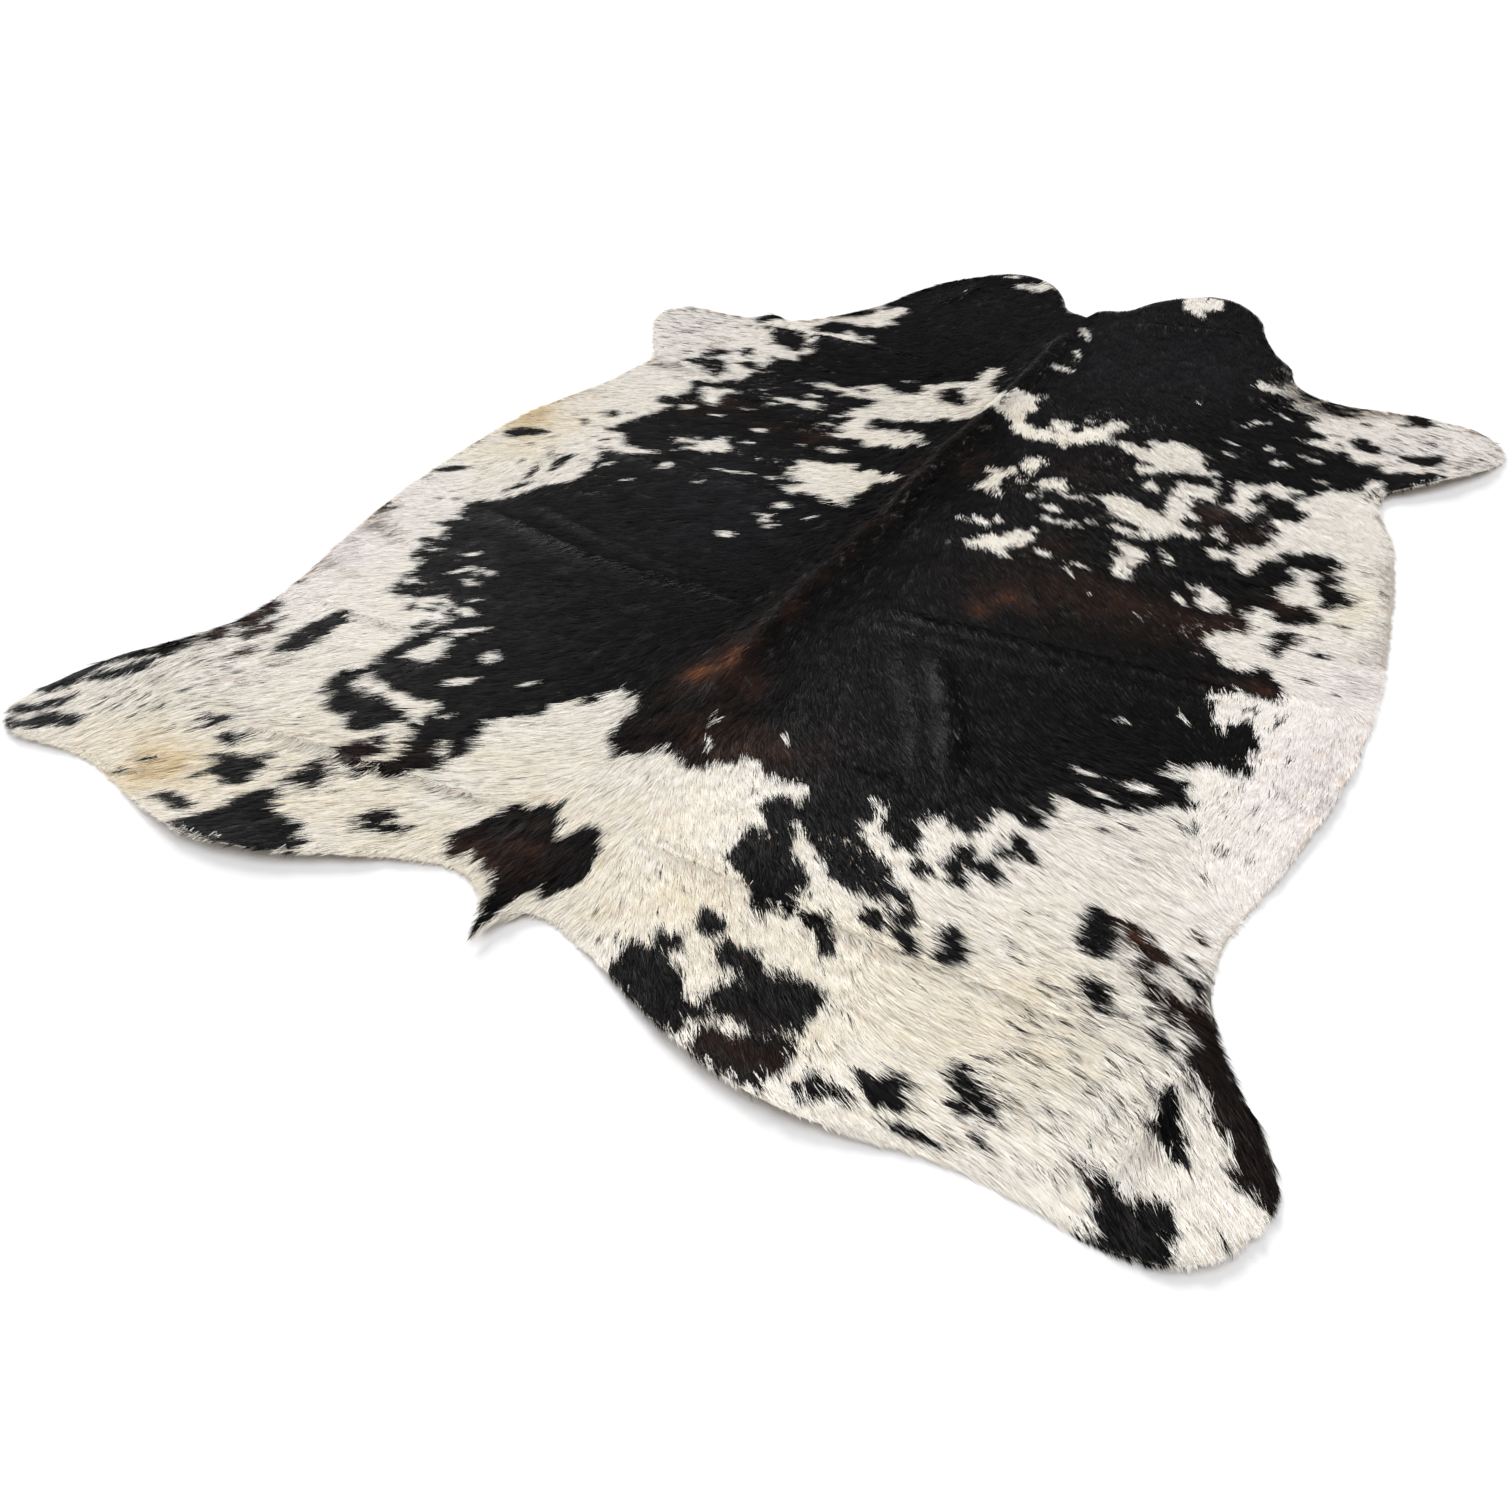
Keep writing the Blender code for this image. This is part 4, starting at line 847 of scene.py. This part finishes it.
saddle = [point for _, stretch in SADDLE for point in stretch]
paint(*depth_in(outline(saddle), BORDER_REACH), BLACK, RAGGED_SADDLE)
for patches, colour, spread in (
    (WHITE_PATCHES, WHITE, 0.0),
    (DARK_PATCHES, BLACK, DARK_SPREAD),
    (BROWN_PATCHES, BROWN_BLACK, 0.0),
):
    for _, points in patches:
        area, depth = depth_in(outline(points), BORDER_REACH)
        paint(area, depth + spread, colour, RAGGED_PATCH)
for ovals, colour in ((WHITE_FLECKS, WHITE), (DARK_FLECKS_AND_FOLD_SHADE, BLACK), (BROWN_FLECKS, DARK_BROWN)):
    for oval in ovals:
        fleck(*depth_in_oval(*oval, FLECK_REACH), colour)

dashes = np.random.default_rng(SPECKLE_SEED)
for x_from, x_to, y_from, y_to, count, turn in SPECKLED:
    for _ in range(count):
        place = dashes.uniform((x_from, y_from), (x_to, y_to))
        length = dashes.uniform(*DASH_LENGTH)
        turned_by = turn + dashes.normal(0, DASH_SWAY)
        cells, depth = depth_in_oval(*place, length, DASH_WIDTH, turned_by, DASH_REACH)
        flecks[cells] = np.where(depth > 0, dashes.choice((DARK_BROWN, BLACK)), flecks[cells])


def soft_oval(across, along, half_across, half_along):
    """1 in the middle of an oval of the chart, falling softly to 0 past its border."""
    x = (chart_x[None, :] - across) / half_across
    y = (chart_y[:, None] - along) / half_along
    return np.exp(-(x * x + y * y))


dark = tone > BROWN
patchy_browning_and_sheen = 1 + 0.6 * cloud(2.5, 3)
patchy_stain = 1 + 0.7 * cloud(6.0, 4)
# In soft patchy ovals the black hair is browned, and in the charcoal ones lightened by a painted sheen.
for across, along, half_across, half_along, browned_and_sheen_tone, strength in BROWNING_AND_SHEEN:
    browning_and_sheen = strength * soft_oval(across, along, half_across, half_along) * patchy_browning_and_sheen
    tone = np.where(dark, tone + (browned_and_sheen_tone - tone) * np.clip(browning_and_sheen, 0, 1), tone)
for across, along, half_across, half_along, stain, strength in STAINED:
    staining = strength * soft_oval(across, along, half_across, half_along) * patchy_stain
    tone = np.where(dark, tone, tone + (stain - tone) * np.clip(staining, 0, 1))


def look_up(field, places):
    """The chart's value at places in metres."""
    column = (places[:, 0] / CM - CHART_ZERO[0] - chart_x[0]) / CELL + 0.5
    row = (places[:, 1] / CM - CHART_ZERO[1] - chart_y[0]) / CELL + 0.5
    column = np.clip(column.astype(int), 0, len(chart_x) - 1)
    row = np.clip(row.astype(int), 0, len(chart_y) - 1)
    return field[row, column]


def add_values(mesh, name, values):
    """A value for each corner of the mesh, for its material to read."""
    mesh.attributes.new(name, "FLOAT", "POINT").data.foreach_set("value", values.astype(np.float32))


add_values(skin.data, "pigment", (look_up(tone, skin_points) > BROWN).astype(float))
add_values(skin.data, "hair_side", np.clip(skin_normals[:, 2], 0, 1))
add_values(skin.data, "suede_side", np.clip(-skin_normals[:, 2], 0, 1))

# Chrome-tanned cowhide, buffed underneath: a matt nap in pale beige, clouded where the flesh
# side took the dye unevenly, with a smooth pale line where the knife cut the edge.
suede, suede_shader = new_material("chrome-tanned cowhide, buffed suede side")
suede_place = add_node(suede, "ShaderNodeTexCoord").outputs["Object"]
suede_cloud = add_node(
    suede, "ShaderNodeTexNoise", inputs={"Vector": suede_place, "Scale": 1 / SUEDE_CLOUD, "Detail": 4.0}
).outputs["Fac"]
suede_nap = add_node(
    suede, "ShaderNodeTexNoise", inputs={"Vector": suede_place, "Scale": 1 / SUEDE_NAP, "Detail": 3.0}
).outputs["Fac"]
suede_colour = add_node(
    suede,
    "ShaderNodeMix",
    {"data_type": "RGBA"},
    {0: suede_cloud, 6: linear(SUEDE), 7: linear(SUEDE_SHADE)},
).outputs[2]
pigment = add_node(suede, "ShaderNodeAttribute", {"attribute_name": "pigment"}).outputs["Fac"]
hair_side = add_node(suede, "ShaderNodeAttribute", {"attribute_name": "hair_side"}).outputs["Fac"]
suede_side = add_node(suede, "ShaderNodeAttribute", {"attribute_name": "suede_side"}).outputs["Fac"]
grain_colour = add_node(
    suede,
    "ShaderNodeMix",
    {"data_type": "RGBA"},
    {0: pigment, 6: linear(SKIN_UNDER_WHITE_HAIR), 7: linear(SKIN_UNDER_DARK_HAIR)},
).outputs[2]
edge_or_grain = add_node(
    suede, "ShaderNodeMix", {"data_type": "RGBA"}, {0: hair_side, 6: linear(CUT_LEATHER), 7: grain_colour}
).outputs[2]
whole_colour = add_node(
    suede, "ShaderNodeMix", {"data_type": "RGBA"}, {0: suede_side, 6: edge_or_grain, 7: suede_colour}
).outputs[2]
suede_bump = add_node(
    suede, "ShaderNodeBump", inputs={"Height": suede_nap, "Strength": 0.5, "Distance": SUEDE_DEPTH}
).outputs["Normal"]
suede.node_tree.links.new(whole_colour, suede_shader.inputs["Base Color"])
suede.node_tree.links.new(suede_bump, suede_shader.inputs["Normal"])
suede_shader.inputs["Roughness"].default_value = 0.85
suede_shader.inputs["Specular IOR Level"].default_value = 0.3
skin.data.materials.append(suede)
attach(skin, "root")
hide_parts("hide")


# The hair: short, straight and glossy, grown from the skin and lying flat, back along the spine
# and down the flanks. Two coats of wool lie under two of guard hair, all in small locks. A strand
# here stands for about ten hairs, as wide as they lie together.
COATS = (
    # name, locks, strands in a lock, length, width, lift in degrees, turn in degrees, roll in degrees, seed
    ("hair_undercoat_1", 22_000, 8, 0.021, 0.0018, 3.0, 9.0, 14.0, 11),
    ("hair_undercoat_2", 22_000, 8, 0.023, 0.0016, 4.5, 7.0, 16.0, 12),
    ("hair_guard_1", 21_000, 9, 0.027, 0.0013, 6.0, 5.0, 20.0, 13),
    ("hair_guard_2", 21_000, 9, 0.029, 0.0012, 7.5, 4.0, 22.0, 14),
)
LOCK_LENGTH = 0.012
LOCK_WIDTH = (0.0045, 0.0022)

# Where the hair is longer and stands in tufts. Elsewhere it is short and smooth.
SMOOTH_LENGTH, SMOOTH_TUFT = 0.85, 0.15
TUFTED = (
    # name, across, along, half across, half along, length share, tuft share
    ("spine", -5, 5, 7, 60, 1.1, 0.7), ("tail root", -3, -62, 14, 12, 1.2, 0.8),
    ("left rump", -40, -92, 30, 20, 1.05, 0.6), ("tail", -5, -100, 12, 12, 1.3, 0.9),
    ("right rump", 28, -92, 34, 22, 1.2, 0.8), ("right hind leg", 70, -96, 18, 20, 1.35, 1.0),
    ("right flank", 52, -58, 20, 16, 1.15, 0.7), ("left hind leg", -76, -88, 10, 18, 1.05, 0.7),
    ("right shoulder", 35, 22, 22, 22, 0.95, 0.5), ("left shoulder", -35, 40, 30, 18, 0.95, 0.5),
)

# How the hair lies: back along the spine, down the flanks, and round the whorls and creases.
FLOW = (
    # name, across, along, heading in degrees from across, reach
    ("left neck", -22, 88, 248, 14), ("right neck", 16, 92, 288, 14), ("left crown", -24, 103, 240, 9),
    ("right crown", 14, 108, 285, 9), ("left withers", -12, 50, 232, 12),
    ("right withers", 6, 50, 300, 12), ("left shoulder", -42, 52, 212, 14),
    ("right shoulder", 42, 50, 322, 14), ("left fore leg", -72, 50, 196, 9),
    ("right fore leg", 68, 68, 335, 10), ("armpit", 62, 45, 315, 7), ("spine", -4, 20, 266, 9),
    ("loin", -5, -20, 268, 9), ("croup", -5, -55, 269, 9), ("left ribs", -34, 14, 212, 16),
    ("left loin", -30, -25, 216, 16), ("left belly", -63, -15, 258, 9),
    ("left chest rim", -75, -2, 218, 8), ("left belly rim", -76, -24, 218, 8),
    ("left flank", -52, -52, 224, 14), ("left low flank", -72, -58, 240, 9),
    ("left rump", -22, -80, 220, 12), ("left thigh", -58, -86, 238, 12),
    ("left hind leg", -74, -94, 268, 9), ("left buttock", -44, -106, 236, 11),
    ("tail root", -4, -84, 270, 8), ("tail", -4, -104, 270, 9), ("right ribs", 30, 14, 314, 16),
    ("right loin", 25, -25, 312, 16), ("right chest", 64, 4, 352, 10), ("right belly", 65, -8, 356, 8),
    ("right low belly", 66, -25, 276, 8), ("below the whorl", 67, -45, 272, 9),
    ("right flank", 50, -48, 348, 11), ("right croup", 22, -58, 312, 14),
    ("right rump", 10, -80, 305, 10), ("right buttock", 28, -98, 312, 12),
    ("right thigh", 50, -92, 350, 11), ("right stifle", 66, -76, 338, 7),
    ("right knee", 61, -86, 342, 8), ("right hock", 76, -96, 306, 9),
)

# Keeps a place of the table above from ruling the hair right beside it.
FLOW_CORE = 0.05

# How far the hair reaches past the rim, and one stretch at the right flank where it stops short:
# across, along, half across, half along, by how much.
OVERHANG = (0.002, 0.007)
BARE_RIM = (73, -67, 4, 8, 0.010)
RIM_REACH = 4.0
RIM_MARGIN = 0.1
REACH_STEPS = 3
LEAST_LENGTH = 0.3
FLOOR_GAP = 0.0006

# On a crest the hair stands off by a share of its height, and is shorter, so its slopes show.
CREST_NAP = 0.35
CREST_SHORTENING = 0.35
CREST_SHORT_FROM = 0.3

# How much locks and strands differ among themselves, in degrees or in shares of the coat's own
# measure. A name that ends in TUFT is what full tufts add, and one in CLOUD what neighbours share.
LOCK_SWAY, LOCK_SWAY_TUFT = 2, 6
LIFT_SHARE, LIFT_SHARE_TUFT = 0.7, 0.6
ROLL_SHARE, ROLL_SHARE_TUFT = 0.2, 0.8
LOCK_LIFT_SPREAD, LOCK_LIFT_CLOUD = 1.0, 2.0
LOCK_SHADE_SPREAD, LOCK_SHADE_CLOUD = 0.6, 0.6
LOCK_LENGTHS = (0.85, 1.15)
STRAND_LENGTHS = (0.8, 1.1)
STRAND_WIDTHS = (0.7, 1.3)
STRAND_LIFT_SPREAD = 0.8
STRAND_SHADE = 0.7
LEAST_LIFT = 0.8
DRAWN_IN = 0.8

# A strand shows its tip and hides its root, so it takes its colour from the chart that far ahead.
SHOWN_PART = 0.75
LOCK_FRAY = 0.0045
OWN_PLACE = 0.35
OWN_PLACE_FLECK = 0.7

# The grey stands for stray grey hairs and for painted shade in the gaps between locks; the charcoal is
# black with a painted sheen.
HAIR_PALETTE = (
    # place on the palette, colour
    (GREY_HAIR_AND_GAP_SHADE, "#958d85"), (PINK_WHITE, "#fcf5f3"), (WHITE, "#fcf8f1"), (CREAM, "#faf2e0"),
    (TAN, "#ecd8ae"), (0.56, "#a5774a"), (BROWN, "#774729"), (DARK_BROWN, "#33211a"),
    (BROWN_BLACK, "#150f0d"), (BLACK, "#060607"), (SHEEN_CHARCOAL, "#1d1d21"),
)
TONE_SPREAD_WHITE = 0.035
TONE_SPREAD_DARK = 0.020
# Grey strands among the white hair, more in tufts and thinner than the rest: partly stray grey hairs,
# partly painted shade in the gaps between locks.
GREY_AND_GAP_SHADE_SHARE = (0.008, 0.05)
GREY_AND_GAP_SHADE_WIDTH = 0.6
TONE_RANGE = (0.01, 0.99)
# Painted shade: how dark a strand's colour turns at its root, and over what part of its length it lightens
# again.
ROOT_PAINTED_SHADE = 0.65
PAINTED_SHADE_PART = 0.4

top_faces = skin_faces[(skin_normals[skin_faces][:, :, 2] > UPWARD).all(axis=1)]
corners = skin_points[top_faces]
sides = corners[:, 1:] - corners[:, :1]
face_areas = np.linalg.norm(np.cross(sides[:, 0], sides[:, 1]), axis=1) / 2
face_shares = np.cumsum(face_areas) / face_areas.sum()

rim = bmesh.new()
rim.from_mesh(skin.data)
rim_segments = np.array([
    [vert.co.xy / CM - Vector(CHART_ZERO) for vert in edge.verts]
    for edge in rim.edges
    if sorted(face.normal.z > UPWARD for face in edge.link_faces) == [False, True]
])
rim.free()
rim_cells, rim_depth = depth_in(rim_segments, RIM_REACH)
inside_rim = np.full(tone.shape, -RIM_REACH)
inside_rim[rim_cells] = rim_depth

# Soft fields by which neighbouring locks turn, lift and shade alike.
lock_turn = 4.0 * cloud(2.0, 6) + 6.0 * cloud(5.0, 7)
lock_lift = cloud(1.6, 8)
lock_tone = cloud(1.2, 9)
length_share = np.full(tone.shape, SMOOTH_LENGTH)
tuft_share = np.full(tone.shape, SMOOTH_TUFT)
for _, across, along, half_across, half_along, length, tuft in TUFTED:
    near = soft_oval(across, along, half_across, half_along)
    length_share = length_share + (length - length_share) * near
    tuft_share = tuft_share + (tuft - tuft_share) * near
trimmed = BARE_RIM[4] * soft_oval(*BARE_RIM[:4])
cell_places = np.stack(np.meshgrid(chart_x, chart_y), axis=2).reshape(-1, 2)
crested = crest_height(cell_places).reshape(tone.shape)
length_share *= 1 - CREST_SHORTENING * np.minimum(1, crested / CREST_SHORT_FROM)
hide_surface = BVHTree.FromPolygons(skin_points.tolist(), top_faces.tolist())


def unit(vectors):
    """The same vectors, 1 long."""
    return vectors / np.linalg.norm(vectors, axis=1, keepdims=True)


def flow_at(places):
    """Which way the hair lies at places of the hide, as level unit vectors."""
    chart = places[:, :2] / CM - CHART_ZERO
    way = np.zeros((len(places), 3))
    for _, across, along, heading, reach in FLOW:
        away = (chart - (across, along)) / reach
        weight = 1 / (FLOW_CORE + (away * away).sum(axis=1)) ** 2
        way[:, 0] += weight * math.cos(math.radians(heading))
        way[:, 1] += weight * math.sin(math.radians(heading))
    return unit(way)


def surface_height(places):
    """How high the skin stands at places inside the rim."""
    down = Vector((0, 0, -1))
    hits = (hide_surface.ray_cast(Vector((x, y, 1)), down)[0] for x, y in places[:, :2].tolist())
    return np.array([hit.z if hit else 0.0 for hit in hits])


def turned(vectors, axes, angles):
    """Vectors turned about axes square to them."""
    angles = angles[:, None]
    return vectors * np.cos(angles) + np.cross(axes, vectors) * np.sin(angles)


def seats(count, random):
    """Places spread evenly over the hair side, with the skin's normal at each."""
    face = np.searchsorted(face_shares, random.random(count) * face_shares[-1])
    across, along = random.random((2, count, 1))
    outside = across + along > 1
    across, along = np.where(outside, 1 - across, across), np.where(outside, 1 - along, along)
    weights = np.stack([1 - across - along, across, along], axis=1)
    places = (skin_points[top_faces[face]] * weights).sum(axis=1)
    return places, unit((skin_normals[top_faces[face]] * weights).sum(axis=1))


def strands(locks, hairs, length, width, lift, turn, roll, random):
    """The three corners of each strand, two at its root and one at its tip, and its tone."""
    seat, normals = seats(locks, random)
    way = flow_at(seat)
    way = unit(way - normals * (way * normals).sum(axis=1, keepdims=True))
    tuft = look_up(tuft_share, seat)
    sway = random.normal(0, LOCK_SWAY + LOCK_SWAY_TUFT * tuft)
    way = turned(way, normals, np.radians(look_up(lock_turn, seat) + sway))
    lock_rise = lift * (LIFT_SHARE + LIFT_SHARE_TUFT * tuft) + random.normal(0, LOCK_LIFT_SPREAD, locks)
    lock_rise = lock_rise + LOCK_LIFT_CLOUD * look_up(lock_lift, seat)
    lock_length = length * look_up(length_share, seat) * random.uniform(*LOCK_LENGTHS, locks)
    fray = random.normal(0, LOCK_FRAY, locks)
    lock_shade = LOCK_SHADE_SPREAD * random.normal(0, 1, locks)
    lock_shade = lock_shade + LOCK_SHADE_CLOUD * look_up(lock_tone, seat)

    count = locks * hairs
    seat, normals, way, tuft, lock_rise, lock_length, fray, lock_shade = (
        np.repeat(values, hairs, axis=0)
        for values in (seat, normals, way, tuft, lock_rise, lock_length, fray, lock_shade)
    )
    side = np.cross(way, normals)
    back = random.uniform(-0.5, 0.5, count) * LOCK_LENGTH
    out = random.normal(0, 1, count) * (LOCK_WIDTH[0] + (LOCK_WIDTH[1] - LOCK_WIDTH[0]) * tuft)
    roots = seat + way * back[:, None] + side * out[:, None]
    astray = look_up(inside_rim, roots) < RIM_MARGIN
    roots[astray] = seat[astray]
    out[astray] = 0

    reach = lock_length * random.uniform(*STRAND_LENGTHS, count)
    drawn_in = np.arctan(DRAWN_IN * tuft * out / reach)
    way = turned(way, normals, np.radians(random.normal(0, turn, count)) + drawn_in)
    side = np.cross(way, normals)
    lifts = random.normal(0, STRAND_LIFT_SPREAD, count) + lock_rise
    rise = np.radians(np.clip(lifts, LEAST_LIFT, None))
    way = turned(way, side, rise)
    rolls = random.normal(0, 1, count) * roll * (ROLL_SHARE + ROLL_SHARE_TUFT * tuft)
    side = turned(side, way, np.radians(rolls))

    overhang = random.uniform(*OVERHANG, count) - look_up(trimmed, roots)
    for _ in range(REACH_STEPS):
        past_rim = -look_up(inside_rim, roots + way * reach[:, None]) * CM - overhang
        reach = np.maximum(reach - np.clip(past_rim, 0, None), length * LEAST_LENGTH)
    tips = roots + way * reach[:, None]
    on_skin = surface_height(tips) + reach * np.sin(rise)
    past_edge = np.maximum(tips[:, 2], FLOOR_GAP)
    tips[:, 2] = np.where(look_up(inside_rim, tips) > 0, on_skin, past_edge)
    for ends in (roots, tips):
        ends[:, 2] += CREST_NAP * look_up(crested, ends) * CM

    ahead = way * (SHOWN_PART * lock_length + fray)[:, None]
    sampled = look_up(tone, seat + (roots - seat) * OWN_PLACE + ahead)
    own = look_up(flecks, seat + (roots - seat) * OWN_PLACE_FLECK + ahead)
    sampled = np.where(np.isnan(own), sampled, own)
    is_dark = sampled > BROWN
    spread = np.where(is_dark, TONE_SPREAD_DARK, TONE_SPREAD_WHITE)
    mixed = sampled + spread * (STRAND_SHADE * random.normal(0, 1, count) + lock_shade)
    # Some white strands turn grey: stray grey hairs, and painted shade in the gaps between locks.
    grey_and_gap_shade_share = GREY_AND_GAP_SHADE_SHARE[0] + (GREY_AND_GAP_SHADE_SHARE[1] - GREY_AND_GAP_SHADE_SHARE[0]) * tuft
    grey_and_gap_shade = ~is_dark & (random.random(count) < grey_and_gap_shade_share)
    mixed = np.where(grey_and_gap_shade, GREY_HAIR_AND_GAP_SHADE, mixed)
    half_widths = width / 2 * random.uniform(*STRAND_WIDTHS, count) * np.where(grey_and_gap_shade, GREY_AND_GAP_SHADE_WIDTH, 1)
    half = side * half_widths[:, None]
    points = np.stack([roots + half, roots - half, tips], axis=1)
    points[:, :, 2] = np.maximum(points[:, :, 2], FLOOR_GAP)
    return points, np.clip(mixed, *TONE_RANGE)


# Cowhide hair, undyed: each strand is a smooth shaft, so it shines along its length. Its colour has painted
# shade in it, darker towards the root, where less light gets in between the strands. The palette is read
# from the strand's own map: its tone across, root to tip along.
hair, hair_shader = new_material("short glossy cow hair, undyed")
hair_map = add_node(hair, "ShaderNodeUVMap", {"uv_map": "OFBake"}).outputs["UV"]
hair_axes = add_node(hair, "ShaderNodeSeparateXYZ", inputs={"Vector": hair_map})
palette = add_node(hair, "ShaderNodeValToRGB", inputs={"Fac": hair_axes.outputs["X"]})
ramp = palette.color_ramp
while len(ramp.elements) < len(HAIR_PALETTE):
    ramp.elements.new(1.0)
for element, (place, colour) in zip(ramp.elements, HAIR_PALETTE):
    element.position = place
    element.color = linear(colour)
# Painted shade: the colour darkens towards the root of each strand.
root_painted_shade = add_node(
    hair,
    "ShaderNodeMapRange",
    inputs={"Value": hair_axes.outputs["Y"], "From Max": PAINTED_SHADE_PART, "To Min": ROOT_PAINTED_SHADE, "To Max": 1.0},
).outputs["Result"]
hair_colour = add_node(
    hair,
    "ShaderNodeMix",
    {"data_type": "RGBA", "blend_type": "MULTIPLY"},
    {0: 1.0, 6: palette.outputs["Color"], 7: root_painted_shade},
).outputs[2]
hair.node_tree.links.new(hair_colour, hair_shader.inputs["Base Color"])
hair_shader.inputs["Roughness"].default_value = 0.45
hair_shader.inputs["Specular IOR Level"].default_value = 0.08

# Each strand's place on its map: a sliver this far to either side of its tone, root to tip.
MAP_HALF = 0.0016
MAP_ENDS = (0.02, 0.98)

for name, locks, hairs, length, width, lift, turn, roll, seed in COATS:
    count = locks * hairs
    points, strand_tones = strands(
        locks, hairs, length, width, lift, turn, roll, np.random.default_rng(seed)
    )
    mesh = bpy.data.meshes.new(name)
    mesh.vertices.add(count * 3)
    mesh.vertices.foreach_set("co", points.astype(np.float32).ravel())
    mesh.loops.add(count * 3)
    mesh.loops.foreach_set("vertex_index", np.arange(count * 3, dtype=np.int32))
    mesh.polygons.add(count)
    mesh.polygons.foreach_set("loop_start", np.arange(0, count * 3, 3, dtype=np.int32))
    mesh.update()
    strand_map = np.empty((count, 3, 2), np.float32)
    strand_map[:, :, 0] = strand_tones[:, None] + np.array([-MAP_HALF, MAP_HALF, 0.0])
    strand_map[:, :, 1] = (MAP_ENDS[0], MAP_ENDS[0], MAP_ENDS[1])
    mesh.uv_layers.new(name="OFBake").uv.foreach_set("vector", strand_map.ravel())
    mesh.materials.append(hair)
    coat = bpy.data.objects.new(name, mesh)
    bpy.context.scene.collection.objects.link(coat)
    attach(coat, "root")


# The floor that the hide lies on: a plain pale one, larger than the view.
FLOOR_SIZE = 200.0
FLOOR_COLOUR = "#f4f4f5"

floor_mesh = bpy.data.meshes.new("floor")
floor_sheet = bmesh.new()
bmesh.ops.create_grid(floor_sheet, x_segments=1, y_segments=1, size=FLOOR_SIZE / 2)
floor_sheet.to_mesh(floor_mesh)
floor_sheet.free()
floor = bpy.data.objects.new("floor", floor_mesh)
bpy.context.scene.collection.objects.link(floor)
floor_paint, floor_shader = new_material("matt floor paint")
floor_shader.inputs["Base Color"].default_value = linear(FLOOR_COLOUR)
floor_shader.inputs["Roughness"].default_value = 0.9
floor_mesh.materials.append(floor_paint)


# The light: a pale room, one broad soft lamp from beyond the left shoulder and one overhead, both
# far enough away to light the whole floor alike.
ROOM_LIGHT = 0.28
LAMPS = (
    # name, the way to it, width in degrees, strength
    ("key lamp", (-1.20, 0.85, 0.95), 24.0, 2.00),
    ("top lamp", (0.10, -0.15, 1.00), 70.0, 1.75),
)

world = bpy.data.worlds.new("pale room")
world.use_nodes = True
world.node_tree.nodes["Background"].inputs["Color"].default_value = (1.0, 1.0, 1.0, 1.0)
world.node_tree.nodes["Background"].inputs["Strength"].default_value = ROOM_LIGHT
bpy.context.scene.world = world
bpy.context.scene.view_settings.view_transform = "Standard"
for name, way, width, strength in LAMPS:
    lamp_data = bpy.data.lights.new(name, "SUN")
    lamp_data.angle = math.radians(width)
    lamp_data.energy = strength
    lamp = bpy.data.objects.new(name, lamp_data)
    lamp.rotation_euler = (-Vector(way)).to_track_quat("-Z", "Y").to_euler()
    bpy.context.scene.collection.objects.link(lamp)


# The camera: where the photograph was taken from, above and behind the right hind leg.
CAMERA_PLACE = Vector((0.8897, -2.0742, 1.2870))
CAMERA_DOWN = math.radians(38.0)
CAMERA_TURN = math.radians(29.52)
SENSOR = 36.0
PHOTO_SIDE = 1512
FOCAL_PIXELS = 1600

camera_data = bpy.data.cameras.new("camera")
camera_data.sensor_width = SENSOR
camera_data.lens = SENSOR * FOCAL_PIXELS / PHOTO_SIDE
camera = bpy.data.objects.new("camera", camera_data)
camera.location = CAMERA_PLACE
camera.rotation_euler = (math.pi / 2 - CAMERA_DOWN, 0.0, CAMERA_TURN)
bpy.context.scene.collection.objects.link(camera)
bpy.context.scene.camera = camera
